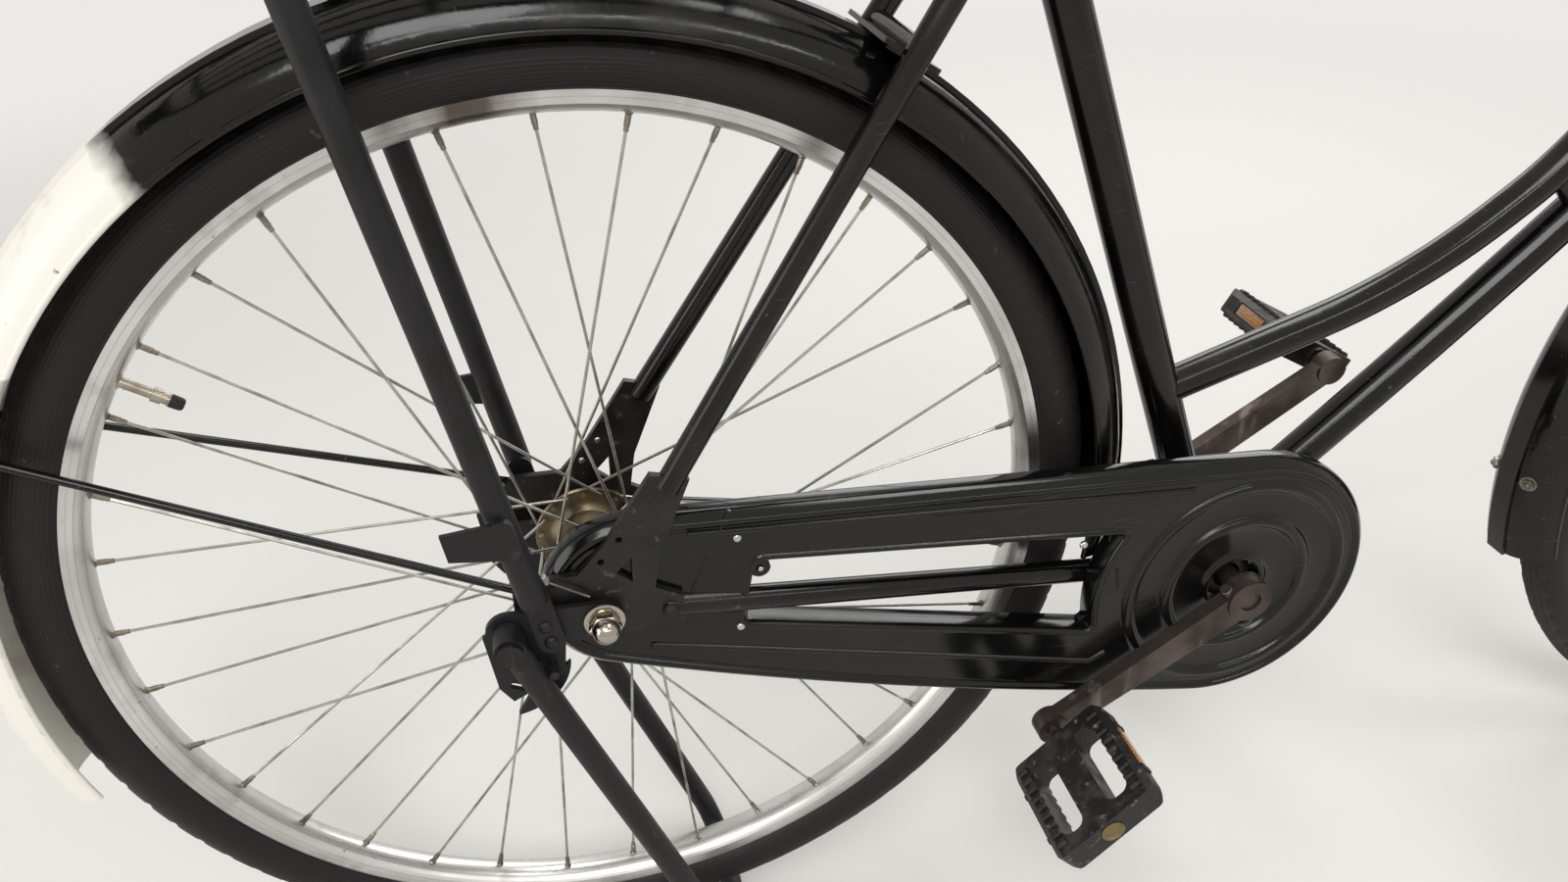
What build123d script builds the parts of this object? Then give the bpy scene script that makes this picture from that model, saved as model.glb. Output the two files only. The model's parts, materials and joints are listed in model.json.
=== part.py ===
from build123d import *

import math
import os

# A lady's roadster bicycle with a loop frame, closed chain case, rear carrier and a two-legged rear stand.
# It is modelled with the rear axle at the origin, +X forward, +Y to the left and +Z up, then set down
# on its stand and its front tyre, with the origin under the middle of its box. All sizes are millimetres.

# Wheels and tyres, the same front and rear
WHEELBASE = 1116.0
TYRE_R = 351.0
TYRE_HEIGHT = 34.0
TYRE_LIP_HALF_WIDTH = 14.6
TYRE_BEAD_CORNER = 3.5
RIM_EDGE_R = TYRE_R - TYRE_HEIGHT
RIM_DEPTH = 16.0
RIM_SHOULDER_DEPTH = 9.0
RIM_WELL_DEPTH = 7.5
RIM_INNER_R = RIM_EDGE_R - RIM_DEPTH
RIM_HALF_WIDTH = 12.5
RIM_EDGE_THICKNESS = 2.2
BEAD_GAP = 0.2
SPOKE_COUNT = 36
SPOKE_R = 1.0
SPOKE_CROSS_ANGLE = 60.0
SPOKE_START_ANGLE = 2.3
SPOKE_OFFSET_AT_RIM = 2.0
NIPPLE_GAP = 0.25
FLANGE_THICKNESS = 3.0
AXLE_R = 4.7
AXLE_RUNNING_GAP = 0.07

# Hubs: barrel radius, flange radius, spoke hole circle, flange place and half length
REAR_HUB = dict(barrel_r=21.0, flange_r=36.0, hole_r=32.5, flange_y=27.0, half_length=33.0)
FRONT_HUB = dict(barrel_r=11.0, flange_r=21.0, hole_r=18.0, flange_y=33.0, half_length=42.0)

# Frame
BRACKET_X = 461.0
BRACKET_DROP = 60.0
BRACKET_SHELL_R = 20.0
BRACKET_HALF_LENGTH = 34.0
SEAT_ANGLE = 68.0
SEAT_TUBE_R = 13.9
SEAT_TUBE_LENGTH = 566.0
SEAT_COLLAR_LENGTH = 42.0
SEAT_COLLAR_WALL = 2.4
SEAT_BORE_START = 300.0
STAY_EAR_R = 7.0
MAIN_TUBE_R = 14.3
LOOP_TUBE_R = 12.6
CHAIN_STAY_R = 8.5
SEAT_STAY_R = 8.0
BRIDGE_R = 6.0
# Middle lines of the left stays, each from its rear or lower end to its other end
CHAIN_STAY_ENDS = ((40.0, 56.5, -5.0), (445.0, 25.0, -61.0))
SEAT_STAY_ENDS = ((44.0, 59.0, 86.0), (259.0, 32.0, 440.0))
SEAT_GAP = 0.3
WELD_GAP = 0.12
HEAD_ANGLE = 68.0
RAKE = 70.0
HEAD_TUBE_R = 16.5
HEAD_TUBE_BORE_R = 13.5
HEAD_TUBE_START = 406.0
HEAD_TUBE_END = 576.0
HEAD_CUP_R = 20.0
HEAD_CUP_LENGTH = 10.0
LOWER_LUG_AT = 446.0
DOWN_TUBE_SAG = 9.0
UPPER_LUG_AT = 552.0
LOOP_START = 150.0
# The loop tube's runs and bends, as shares of the line between its ends and degrees from that line
LOOP_FIRST_RUN = (0.3274, -23.27)
LOOP_LAST_RUN = (0.4994, 16.43)
LOOP_BEND_SHARES = (0.685, 0.4176)
BRIDGE_AT = 0.575
GUARD_BRIDGE_LENGTH = 38.0
GUARD_BRIDGE_THICKNESS = 3.0
GUARD_BRIDGE_HOLE_R = 3.0

# Rear ends, axle and what hangs on it, as distances from the middle plane
DROPOUT_IN = 57.5
DROPOUT_THICKNESS = 5.0
SLOT_HALF_WIDTH = 5.2
EYE_THICKNESS = 3.0
PLATE_IN = 66.3
PLATE_THICKNESS = 4.0
LEG_Y = 81.0
LEG_R = 8.7
AXLE_HALF_LENGTH = 86.0
NUT_R = 9.5
NUT_LENGTH = 20.0
SPACER_R = 9.5

# Arm of the back-pedal brake, inside the left rear end, held by a clip on the chain stay
BRAKE_ARM_IN = 36.0
BRAKE_ARM_THICKNESS = 3.0
BRAKE_ARM_REACH = 130.0
BRAKE_ARM_ROOT_R = 15.0
BRAKE_ARM_TIP_R = 7.5
BRAKE_CLIP_WALL = 2.2
BRAKE_CLIP_WIDTH = 12.0

# Rear stand, a bent tube of two legs and a foot bar
STAND_PIVOT = (-59.0, 0.0)
STAND_LEG_BEYOND_TYRE = 49.0
STAND_LEG = TYRE_R + STAND_LEG_BEYOND_TYRE
STAND_BEND_R = 32.0
STAND_LIFT = 30.0
STAND_PIN_R = 4.0
STAND_BOSS_R = 10.0

# Luggage carrier
CARRIER_LEG_FOOT_X = -35.0
CARRIER_LEG_ANGLE = 102.1
DECK_Z = 426.0
DECK_RAIL_R = 6.0
DECK_RAIL_Y = 65.1
DECK_REAR_X = -318.0
DECK_FRONT_BEND_X = 150.0
DECK_BAR_R = 4.0
DECK_BAR_SPACING = 32.0

# Mudguards
GUARD_CROWN_ABOVE_TYRE = 29.0
GUARD_EDGE_BELOW_TREAD = 1.0
GUARD_OUTER_R = TYRE_R + GUARD_CROWN_ABOVE_TYRE
GUARD_EDGE_R = TYRE_R - GUARD_EDGE_BELOW_TREAD
GUARD_HALF_WIDTH = 32.5
GUARD_WALL = 1.4
GUARD_RIB_HALF_WIDTH = 9.0
GUARD_RIB_HEIGHT = 1.8
GUARD_ROLL_R = 2.0
REAR_GUARD_ANGLES = (-6.0, 200.0)
FRONT_GUARD_ANGLES = (40.0, 198.0)
REAR_STAY_ANGLE = 157.4
FRONT_STAY_ANGLE = 186.0
GUARD_STAY_R = 2.6
GUARD_STAY_KNEE_R = 345.0
GUARD_STAY_KNEE_Y = 28.0
GUARD_BOLT_ANGLE_IN_SECTION = 30.0

# Chain case
CASE_OUT = 57.3
CASE_IN = 39.0
CASE_FRONT_R = 106.5
CASE_REAR = (20.0, 5.0)
CASE_REAR_R = 58.0
CASE_BELLY_R = 2700.0
CASE_EDGE_FILLET = 7.0
CASE_BACK_FILLET = 5.0
CASE_BEAD_INSET = 5.5
CASE_BEAD_WIDTH = 4.0
CASE_DISC_R = 114.0
CASE_BORE_R = 20.0
CASE_RING_RADII = (87.0, 57.0)
CASE_RING_WIDTH = 7.0
CASE_RELIEF = 1.8
CASE_STAY_GAP = 0.4
CASE_WINDOW = ((100.0, 20.0), (400.0, -3.0), (400.0, -94.0), (92.0, -28.0))
CASE_WINDOW_CORNER_R = 5.0
CASE_WINDOW_LIP = 3.0
CASE_RIDGE_WIDTH = 3.0
CASE_LOWER_RIDGE = ((30.0, -37.0), (352.0, -113.6), (364.0, -107.0))
CASE_UPPER_RIDGE = ((56.0, 47.6), (411.0, 29.9))

# Cranks and pedals
CRANK_LENGTH = 170.0
CRANK_ANGLE = 214.5
CRANK_IN = 66.0
CRANK_THICKNESS = 14.0
CRANK_AXLE_R = 8.0
CRANK_BOSS_R = 17.0
CRANK_EYE_R = 12.0
PEDAL_IN = 92.0
PEDAL_WIDTH = 84.0
PEDAL_LENGTH = 84.0
PEDAL_HEIGHT = 22.0
PEDAL_CORNER_R = 9.0
PEDAL_EDGE_CHAMFER = 5.0
PEDAL_RAIL = 13.0
PEDAL_END = 11.0
PEDAL_BARREL_R = 10.5
PEDAL_BOSS_LENGTH = 5.0
PEDAL_TOOTH_R = 2.6
PEDAL_TOOTH_COUNT = 9
PEDAL_SPINDLE_R = 5.0
PEDAL_TILT = (45.0, -28.0)

# Fork, front axle
FORK_LEG_Y = 46.5
FORK_LEG_R = 11.0
FORK_TIP_R = 7.5
FORK_BEND_START = 225.0
CROWN_START = 383.0
CROWN_THICKNESS = 16.0
CROWN_RACE_GAP = 0.5
STEERER_R = 12.7
FORK_END_THICKNESS = 5.0
FRONT_AXLE_HALF_LENGTH = 66.0

# Stem, handlebar, saddle
STEM_R = 11.0
STEM_TOP = 700.0
STEM_REACH = 52.0
BAR_R = 11.0
BAR_CORNERS = ((0.0, 60.0, 0.0), (-8.0, 120.0, 58.0), (-70.0, 235.0, 78.0), (-235.0, 285.0, 62.0))
BAR_BEND_R = 36.0
GRIP_R = 16.0
GRIP_LENGTH = 122.0
BELL_R = 24.0
LAMP_R = 34.0
LAMP_LENGTH = 62.0
LAMP_AT = 486.0
LAMP_FORWARD = 92.0
POST_R = 12.7
POST_TOP = 660.0
SADDLE_X = 176.0
SADDLE_TOP = 655.0
SADDLE_LENGTH = 262.0
SADDLE_STATIONS = ((0.0, 60.0, 30.0), (30.0, 98.0, 44.0), (95.0, 106.0, 48.0),
                   (170.0, 56.0, 44.0), (230.0, 24.0, 36.0), (262.0, 13.0, 26.0))
SPRING_R = 14.0
SPRING_Y = 62.0
SADDLE_RAIL_R = 4.0

os.makedirs("parts", exist_ok=True)

# Directions and points in the wheel plane


def direction(angle):
    """A unit vector in the wheel plane, from +X towards +Z."""
    turn = math.radians(angle)
    return Vector(math.cos(turn), 0, math.sin(turn))


BRACKET = Vector(BRACKET_X, 0, -BRACKET_DROP)
SEAT_DIRECTION = direction(180 - SEAT_ANGLE)
STEER_DIRECTION = direction(180 - HEAD_ANGLE)
STEER_FORWARD = direction(90 - HEAD_ANGLE)
FRONT_AXLE = Vector(WHEELBASE, 0, 0)
STEER_FOOT = FRONT_AXLE - STEER_FORWARD * RAKE
SIDE_Y = Vector(0, 1, 0)


def on_steering(distance, forward=0.0, side=0.0):
    """A point at a distance up the steering axis, ahead of it and to one side."""
    return STEER_FOOT + STEER_DIRECTION * distance + STEER_FORWARD * forward + SIDE_Y * side


def on_seat_tube(distance):
    return BRACKET + SEAT_DIRECTION * distance


def rod(start, end, radius):
    """A round bar from one point to another."""
    start = Vector(*start)
    end = Vector(*end)
    reach = end - start
    plane = Plane(origin=start, z_dir=reach)
    return extrude(plane * Circle(radius), reach.length)


def pipe(path, radius):
    """A round bar along a path of lines and tangent arcs."""
    section = Plane(origin=path @ 0, z_dir=path % 0) * Circle(radius)
    return sweep(section, path=path)


def disc(centre, y_low, y_high, radius):
    """A round plate along Y, between two distances from the middle plane."""
    plane = Plane(origin=(centre[0], y_high, centre[1]), x_dir=(1, 0, 0), z_dir=(0, -1, 0))
    return extrude(plane * Circle(radius), y_high - y_low)


def plate(outline, y_low, y_high):
    """A flat plate along Y from a face drawn in the wheel plane, with X forward and Y up."""
    plane = Plane(origin=(0, y_high, 0), x_dir=(1, 0, 0), z_dir=(0, -1, 0))
    return extrude(plane * outline, y_high - y_low)


def link(first, first_r, second, second_r):
    """The face round two circles and the straight sides that touch both."""
    a = Vector(*first)
    b = Vector(*second)
    span = b - a
    lean = math.degrees(math.acos((first_r - second_r) / span.length))
    heading = math.degrees(math.atan2(span.Y, span.X))
    corners = []
    for centre, radius, sign in ((a, first_r, 1), (b, second_r, 1), (b, second_r, -1), (a, first_r, -1)):
        turn = math.radians(heading + sign * lean)
        corners.append((centre.X + radius * math.cos(turn), centre.Y + radius * math.sin(turn)))
    body = make_face(Polyline(*corners, close=True))
    return body + Pos(*first) * Circle(first_r) + Pos(*second) * Circle(second_r)


def both_sides(piece):
    """The piece and its mirror image across the middle plane."""
    return [piece, mirror(piece, about=Plane.XZ)]


def around_axle(face, first_angle, last_angle):
    """Turn a section drawn with X across the wheel and Y outward round the wheel's axle."""
    start = Plane(origin=(0, 0, 0), x_dir=(0, 1, 0), z_dir=direction(first_angle - 90))
    return revolve(start * face, axis=Axis((0, 0, 0), (0, -1, 0)), revolution_arc=last_angle - first_angle)


# Wheels


def tyre():
    lip_r = RIM_EDGE_R + BEAD_GAP * 1.5
    lip_half = TYRE_LIP_HALF_WIDTH
    bead_half = RIM_HALF_WIDTH - RIM_EDGE_THICKNESS - BEAD_GAP
    base_half = bead_half - TYRE_BEAD_CORNER * 1.2
    base_r = RIM_EDGE_R - RIM_WELL_DEPTH + BEAD_GAP
    shoulder_r = base_r + TYRE_BEAD_CORNER
    sides = Polyline(
        (lip_half, lip_r), (bead_half, lip_r), (bead_half, shoulder_r), (base_half, base_r),
        (-base_half, base_r), (-bead_half, shoulder_r), (-bead_half, lip_r), (-lip_half, lip_r))
    tread = ThreePointArc((-lip_half, lip_r), (0, TYRE_R), (lip_half, lip_r))
    return around_axle(make_face([sides, tread]), 0, 360)


def rim():
    hook_in = RIM_HALF_WIDTH - RIM_EDGE_THICKNESS
    half = RIM_HALF_WIDTH
    shoulder_r = RIM_EDGE_R - RIM_SHOULDER_DEPTH
    well_r = RIM_EDGE_R - RIM_WELL_DEPTH
    well_half = hook_in - TYRE_BEAD_CORNER * 1.2
    well = Polyline(
        (half, shoulder_r), (half, RIM_EDGE_R), (hook_in, RIM_EDGE_R), (hook_in, well_r + TYRE_BEAD_CORNER),
        (well_half, well_r), (-well_half, well_r), (-hook_in, well_r + TYRE_BEAD_CORNER),
        (-hook_in, RIM_EDGE_R), (-half, RIM_EDGE_R), (-half, shoulder_r))
    base = ThreePointArc((-half, shoulder_r), (0, RIM_INNER_R), (half, shoulder_r))
    return around_axle(make_face([well, base]), 0, 360)


def hub_with_spokes(barrel_r, flange_r, hole_r, flange_y, half_length):
    """A hub shell with its flanges and the spokes that cross three times, run to the rim."""
    hub = disc((0, 0), -half_length, half_length, barrel_r * 0.72)
    hub += disc((0, 0), -flange_y, flange_y, barrel_r)
    for side in (-1, 1):
        middle = side * flange_y
        hub += disc((0, 0), middle - FLANGE_THICKNESS / 2, middle + FLANGE_THICKNESS / 2, flange_r)
    for number in range(SPOKE_COUNT):
        side = 1 if number % 2 else -1
        pull = 1 if number % 4 in (0, 3) else -1
        face = FLANGE_THICKNESS / 2 + SPOKE_R * 0.7
        rim_angle = SPOKE_START_ANGLE + 360.0 / SPOKE_COUNT * number
        head = direction(rim_angle + pull * SPOKE_CROSS_ANGLE) * hole_r
        head += SIDE_Y * side * (flange_y + pull * face)
        tip = direction(rim_angle) * (RIM_INNER_R - NIPPLE_GAP) + SIDE_Y * side * SPOKE_OFFSET_AT_RIM
        hub += rod(head, tip, SPOKE_R)
    return hub - disc((0, 0), -half_length - 1, half_length + 1, AXLE_R + AXLE_RUNNING_GAP)


# Frame tubes

CHAIN_STAY_REAR = Vector(*CHAIN_STAY_ENDS[0])
CHAIN_STAY_FRONT = Vector(*CHAIN_STAY_ENDS[1])
SEAT_STAY_FOOT = Vector(*SEAT_STAY_ENDS[0])
SEAT_STAY_TOP = Vector(*SEAT_STAY_ENDS[1])


def mirrored(point, side):
    return Vector(point.X, point.Y * side, point.Z)


def bracket_shell():
    shell = disc((BRACKET.X, BRACKET.Z), -BRACKET_HALF_LENGTH, BRACKET_HALF_LENGTH, BRACKET_SHELL_R)
    return shell - disc((BRACKET.X, BRACKET.Z), -50, 50, CRANK_AXLE_R + AXLE_RUNNING_GAP)


def bracket_room():
    return disc((BRACKET.X, BRACKET.Z), -50, 50, BRACKET_SHELL_R + WELD_GAP)


def seat_tube():
    tube = rod(on_seat_tube(0), on_seat_tube(SEAT_TUBE_LENGTH), SEAT_TUBE_R)
    collar_start = on_seat_tube(SEAT_TUBE_LENGTH - SEAT_COLLAR_LENGTH)
    collar = rod(collar_start, on_seat_tube(SEAT_TUBE_LENGTH), SEAT_TUBE_R + SEAT_COLLAR_WALL)
    bore = rod(on_seat_tube(SEAT_BORE_START), on_seat_tube(SEAT_TUBE_LENGTH + 1), POST_R + 0.1)
    return tube + collar - bore - bracket_room()


def seat_tube_room():
    return rod(on_seat_tube(0), on_seat_tube(SEAT_TUBE_LENGTH - SEAT_COLLAR_LENGTH), SEAT_TUBE_R + WELD_GAP)


def head_tube_room():
    room = rod(on_steering(HEAD_TUBE_START), on_steering(HEAD_TUBE_END), HEAD_TUBE_R + WELD_GAP)
    for start, end in head_cups():
        room += rod(on_steering(start - WELD_GAP), on_steering(end + WELD_GAP), HEAD_CUP_R + WELD_GAP)
    return room


def head_cups():
    """Where the two headset cups start and end along the steering axis."""
    return ((HEAD_TUBE_START, HEAD_TUBE_START + HEAD_CUP_LENGTH),
            (HEAD_TUBE_END - HEAD_CUP_LENGTH, HEAD_TUBE_END))


def down_tube_path():
    start = BRACKET
    end = on_steering(LOWER_LUG_AT)
    chord = end - start
    below = SIDE_Y.cross(chord).normalized()
    middle = (start + end) * 0.5 + below * DOWN_TUBE_SAG
    return ThreePointArc(start, middle, end)


def top_tube_path():
    """The loop tube: low behind, then two bends up to the upper lug."""
    start = on_seat_tube(LOOP_START)
    end = on_steering(UPPER_LUG_AT)
    span = end - start
    heading = math.degrees(math.atan2(span.Z, span.X))
    first = start + direction(heading + LOOP_FIRST_RUN[1]) * (span.length * LOOP_FIRST_RUN[0])
    last = end - direction(heading + LOOP_LAST_RUN[1]) * (span.length * LOOP_LAST_RUN[0])
    radii = [span.length * share for share in LOOP_BEND_SHARES]
    return FilletPolyline(start, first, last, end, radius=radii)


def down_tube():
    tube = pipe(down_tube_path(), MAIN_TUBE_R)
    return tube - bracket_room() - seat_tube_room() - head_tube_room()


def top_tube():
    tube = pipe(top_tube_path(), LOOP_TUBE_R)
    return tube - seat_tube_room() - head_tube_room()


def tube_bridge():
    """The short bar that ties the loop tube to the down tube."""
    path = down_tube_path()
    foot = path @ BRIDGE_AT
    head = top_tube_path().distance_to_with_closest_points(foot)[1]
    bar = rod(foot, head, BRIDGE_R + 1)
    down = pipe(path, MAIN_TUBE_R + WELD_GAP)
    top = pipe(top_tube_path(), LOOP_TUBE_R + WELD_GAP)
    return bar - down - top


def head_tube():
    tube = rod(on_steering(HEAD_TUBE_START), on_steering(HEAD_TUBE_END), HEAD_TUBE_R)
    for start, end in head_cups():
        tube += rod(on_steering(start), on_steering(end), HEAD_CUP_R)
    return tube - rod(on_steering(HEAD_TUBE_START - 1), on_steering(HEAD_TUBE_END + 1), HEAD_TUBE_BORE_R)


def chain_stay_line(side, radius):
    return rod(mirrored(CHAIN_STAY_REAR, side), mirrored(CHAIN_STAY_FRONT, side), radius)


def chain_stay(side):
    return chain_stay_line(side, CHAIN_STAY_R) - bracket_room() - dropout_room(side) - seat_tube_room()


def seat_stay(side):
    stay = rod(mirrored(SEAT_STAY_FOOT, side), mirrored(SEAT_STAY_TOP, side), SEAT_STAY_R)
    ear_end = Vector(SEAT_STAY_TOP.X + 6, side * 18, SEAT_STAY_TOP.Z + 16)
    ear = rod(mirrored(SEAT_STAY_TOP, side), ear_end, STAY_EAR_R)
    collar_r = SEAT_TUBE_R + SEAT_COLLAR_WALL + WELD_GAP
    cluster = rod(on_seat_tube(SEAT_BORE_START), on_seat_tube(SEAT_TUBE_LENGTH), collar_r)
    return stay + ear - cluster - dropout_room(side)


def on_seat_stay(height):
    """The middle of the left seat stay at a height above the axle."""
    share = (height - SEAT_STAY_FOOT.Z) / (SEAT_STAY_TOP.Z - SEAT_STAY_FOOT.Z)
    return SEAT_STAY_FOOT + (SEAT_STAY_TOP - SEAT_STAY_FOOT) * share


def bridge_height():
    """How high the stays pass just outside the mudguard."""
    outside = GUARD_OUTER_R + BRIDGE_R + SEAT_GAP
    rise = SEAT_STAY_TOP.Z - SEAT_STAY_FOOT.Z
    run = SEAT_STAY_TOP.X - SEAT_STAY_FOOT.X
    length = math.hypot(run, rise)
    along = (SEAT_STAY_FOOT.X * run + SEAT_STAY_FOOT.Z * rise) / length
    square = SEAT_STAY_FOOT.X ** 2 + SEAT_STAY_FOOT.Z ** 2
    reach = math.sqrt(along ** 2 - square + outside ** 2) - along
    return SEAT_STAY_FOOT.Z + reach * rise / length


def stay_bridge():
    """The bar across the seat stays, with the flat plate that the rear mudguard is bolted to."""
    centre = on_seat_stay(bridge_height())
    bar = rod(mirrored(centre, -1), centre, BRIDGE_R)
    outward = Vector(centre.X, 0, centre.Z).normalized()
    seat = Plane(origin=outward * (GUARD_OUTER_R + SEAT_GAP), x_dir=(0, 1, 0), z_dir=outward)
    flat = RectangleRounded(centre.Y * 2, GUARD_BRIDGE_LENGTH, BRIDGE_R)
    for side in (-1, 1):
        flat -= Pos(side * centre.Y / 2, GUARD_BRIDGE_LENGTH / 3) * Circle(GUARD_BRIDGE_HOLE_R)
    bar += extrude(seat * flat, GUARD_BRIDGE_THICKNESS)
    for side in (-1, 1):
        bar -= rod(mirrored(SEAT_STAY_FOOT, side), mirrored(SEAT_STAY_TOP, side), SEAT_STAY_R + WELD_GAP)
    return bar


def dropout_outline(slack=0.0):
    body = make_face(Polyline(
        (58, 92), (34, 98), (5, 53), (-14, 31), (-48, 31), (-54, 24), (-54, -12), (-48, -17),
        (-2, -17), (20, -20), (52, -16), (52, 4), (34, 14), (38, 40), close=True))
    if slack:
        return offset(body, slack)
    slot = Pos(-30, 0) * Rectangle(60, SLOT_HALF_WIDTH * 2) + Circle(SLOT_HALF_WIDTH)
    window = make_face(Polyline((10, 29), (20, 20.5), (20, 40), close=True))
    holes = Pos(1, 39) * Circle(2.2) + Pos(13, 54) * Circle(2.2)
    return body - slot - window - holes


def dropout_room(side):
    low, high = sorted((side * (DROPOUT_IN - WELD_GAP), side * (DROPOUT_IN + DROPOUT_THICKNESS + WELD_GAP)))
    return plate(dropout_outline(WELD_GAP), low, high)


def dropout(side):
    low, high = sorted((side * DROPOUT_IN, side * (DROPOUT_IN + DROPOUT_THICKNESS)))
    return plate(dropout_outline(), low, high)


# Axle, plates and stand


def rear_axle():
    """The axle with its spacers inside the rear ends and its domed nuts outside."""
    axle = disc((0, 0), -AXLE_HALF_LENGTH, AXLE_HALF_LENGTH, AXLE_R)
    for side in (-1, 1):
        low, high = sorted((side * (REAR_HUB["half_length"] + 0.5), side * (DROPOUT_IN - 0.2)))
        axle += disc((0, 0), low, high, SPACER_R)
        washer_in = PLATE_IN + PLATE_THICKNESS + 0.2
        low, high = sorted((side * washer_in, side * (washer_in + NUT_LENGTH - NUT_R)))
        axle += disc((0, 0), low, high, NUT_R)
        dome = Pos(0, side * (washer_in + NUT_LENGTH - NUT_R), 0) * Sphere(NUT_R)
        axle += dome
    return axle


def axle_plate_outline():
    x, z = STAND_PIVOT
    body = link(STAND_PIVOT, 14.0, (0, 0), 13.0)
    skirt = make_face(Polyline(
        (x - 16, z - 2), (x - 10, z - 44), (x - 2, z - 56), (x + 32, z - 38), (x + 36, z + 10), close=True))
    hook = make_face([
        ThreePointArc((x + 36, z - 30), (x + 22, z - 58), (x, z - 68)),
        Polyline((x, z - 68), (x + 10, z - 50), (x + 36, z - 30))])
    slot = Pos(x + 3, z - 45) * SlotOverall(14, 4.5, rotation=-25)
    return body + skirt + hook - slot - Circle(AXLE_R + 0.1)


def axle_plates():
    """Plates on the axle that carry the carrier's legs and the stand, with pin and stop."""
    x, z = STAND_PIVOT
    down = stand_down_angle()
    outer = LEG_Y + LEG_R
    right = plate(axle_plate_outline(), -PLATE_IN - PLATE_THICKNESS, -PLATE_IN)
    right += disc((x, z), -outer - 3.6, -PLATE_IN, STAND_PIN_R)
    right += disc((x, z), -outer - 3.6, -outer - 0.6, STAND_PIN_R + 4)
    ahead = direction(down + 90) * (LEG_R + 0.3 + 3)
    stop = Vector(x, 0, z) + direction(down) * 36 + ahead
    right += disc((stop.X, stop.Z), -LEG_Y - 2, -PLATE_IN, 3.0)
    return both_sides(right)


def stand_down_angle():
    """The angle of the stand's legs, below the pivot, that lifts the rear tyre off the ground."""
    pitch = math.asin(STAND_LIFT / WHEELBASE)
    x, z = STAND_PIVOT
    pivot_height = TYRE_R + STAND_LIFT - x * math.sin(pitch) + z * math.cos(pitch)
    drop = pivot_height - LEG_R
    return -math.degrees(math.asin(drop / STAND_LEG)) + math.degrees(pitch)


def stand():
    """The bent tube: two legs and a foot bar, with a bored boss at each pivot."""
    down = direction(stand_down_angle())
    pivot = Vector(STAND_PIVOT[0], 0, STAND_PIVOT[1])
    foot = pivot + down * STAND_LEG
    side = SIDE_Y * LEG_Y
    path = FilletPolyline(pivot - side, foot - side, foot + side, pivot + side, radius=STAND_BEND_R)
    tube = pipe(path, LEG_R)
    bores = []
    for sign in (-1, 1):
        low, high = sorted((sign * (LEG_Y - LEG_R - 0.4), sign * (LEG_Y + LEG_R)))
        tube += disc(STAND_PIVOT, low, high, STAND_BOSS_R)
        bores.append(disc(STAND_PIVOT, low - 30, high + 30, STAND_PIN_R + AXLE_RUNNING_GAP))
    for bore in bores:
        tube -= bore
    return tube


def brake_arm():
    """The arm of the back-pedal brake, forward from the hub to a clip round the left chain stay."""
    share = (BRAKE_ARM_REACH - CHAIN_STAY_REAR.X) / (CHAIN_STAY_FRONT.X - CHAIN_STAY_REAR.X)
    tip = CHAIN_STAY_REAR + (CHAIN_STAY_FRONT - CHAIN_STAY_REAR) * share
    along = (CHAIN_STAY_FRONT - CHAIN_STAY_REAR).normalized() * (BRAKE_CLIP_WIDTH / 2)
    outer = BRAKE_ARM_IN + BRAKE_ARM_THICKNESS
    arm = plate(link((0, 0), BRAKE_ARM_ROOT_R, (tip.X, tip.Z), BRAKE_ARM_TIP_R), BRAKE_ARM_IN, outer)
    arm -= disc((0, 0), BRAKE_ARM_IN - 1, outer + 1, SPACER_R + SEAT_GAP)
    arm += rod(tip - along, tip + along, CHAIN_STAY_R + BRAKE_CLIP_WALL)
    arm += disc((tip.X, tip.Z), BRAKE_ARM_IN, tip.Y, BRAKE_ARM_TIP_R - 1)
    return arm - chain_stay_line(1, CHAIN_STAY_R + WELD_GAP)


# Carrier

LEG_SLOPE = direction(CARRIER_LEG_ANGLE)


def on_carrier_leg(height, side):
    reach = height / LEG_SLOPE.Z
    return Vector(CARRIER_LEG_FOOT_X, side * LEG_Y, 0) + LEG_SLOPE * reach


def carrier_legs():
    tongue_in = PLATE_IN + PLATE_THICKNESS + 0.2
    leg = rod(on_carrier_leg(30, -1), on_carrier_leg(DECK_Z + 8, -1), LEG_R)
    foot = on_carrier_leg(-8, -1)
    knee = on_carrier_leg(30, -1)
    leg += plate(link((foot.X, foot.Z), 8.5, (knee.X, knee.Z), LEG_R - 0.2), -tongue_in - 5, -tongue_in)
    leg += plate(Pos(knee.X, knee.Z) * Circle(LEG_R - 0.2), -LEG_Y, -tongue_in)
    low = on_carrier_leg(78, -1)
    high = on_carrier_leg(92, -1)
    clip = plate(link((low.X, low.Z), 7.0, (high.X, high.Z), 7.0), -LEG_Y - LEG_R - 4.5, -LEG_Y - LEG_R + 0.5)
    reach = plate(
        make_face(Polyline((low.X, low.Z - 6), (low.X - 34, low.Z - 2), (high.X - 34, high.Z + 2),
                           (high.X, high.Z + 6), close=True)),
        -LEG_Y - LEG_R - 4.5, -LEG_Y - LEG_R - 1.5)
    return both_sides(leg + clip + reach)


def rail_path():
    """The rail's line, from the right seat stay round the back of the deck to the left one."""
    stay = on_seat_stay(DECK_Z)
    front_y = stay.Y + SEAT_STAY_R + DECK_RAIL_R + SEAT_GAP
    return FilletPolyline(
        (stay.X, -front_y, DECK_Z), (DECK_FRONT_BEND_X, -DECK_RAIL_Y, DECK_Z),
        (DECK_REAR_X, -DECK_RAIL_Y, DECK_Z), (DECK_REAR_X, DECK_RAIL_Y, DECK_Z),
        (DECK_FRONT_BEND_X, DECK_RAIL_Y, DECK_Z), (stay.X, front_y, DECK_Z),
        radius=30)


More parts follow.
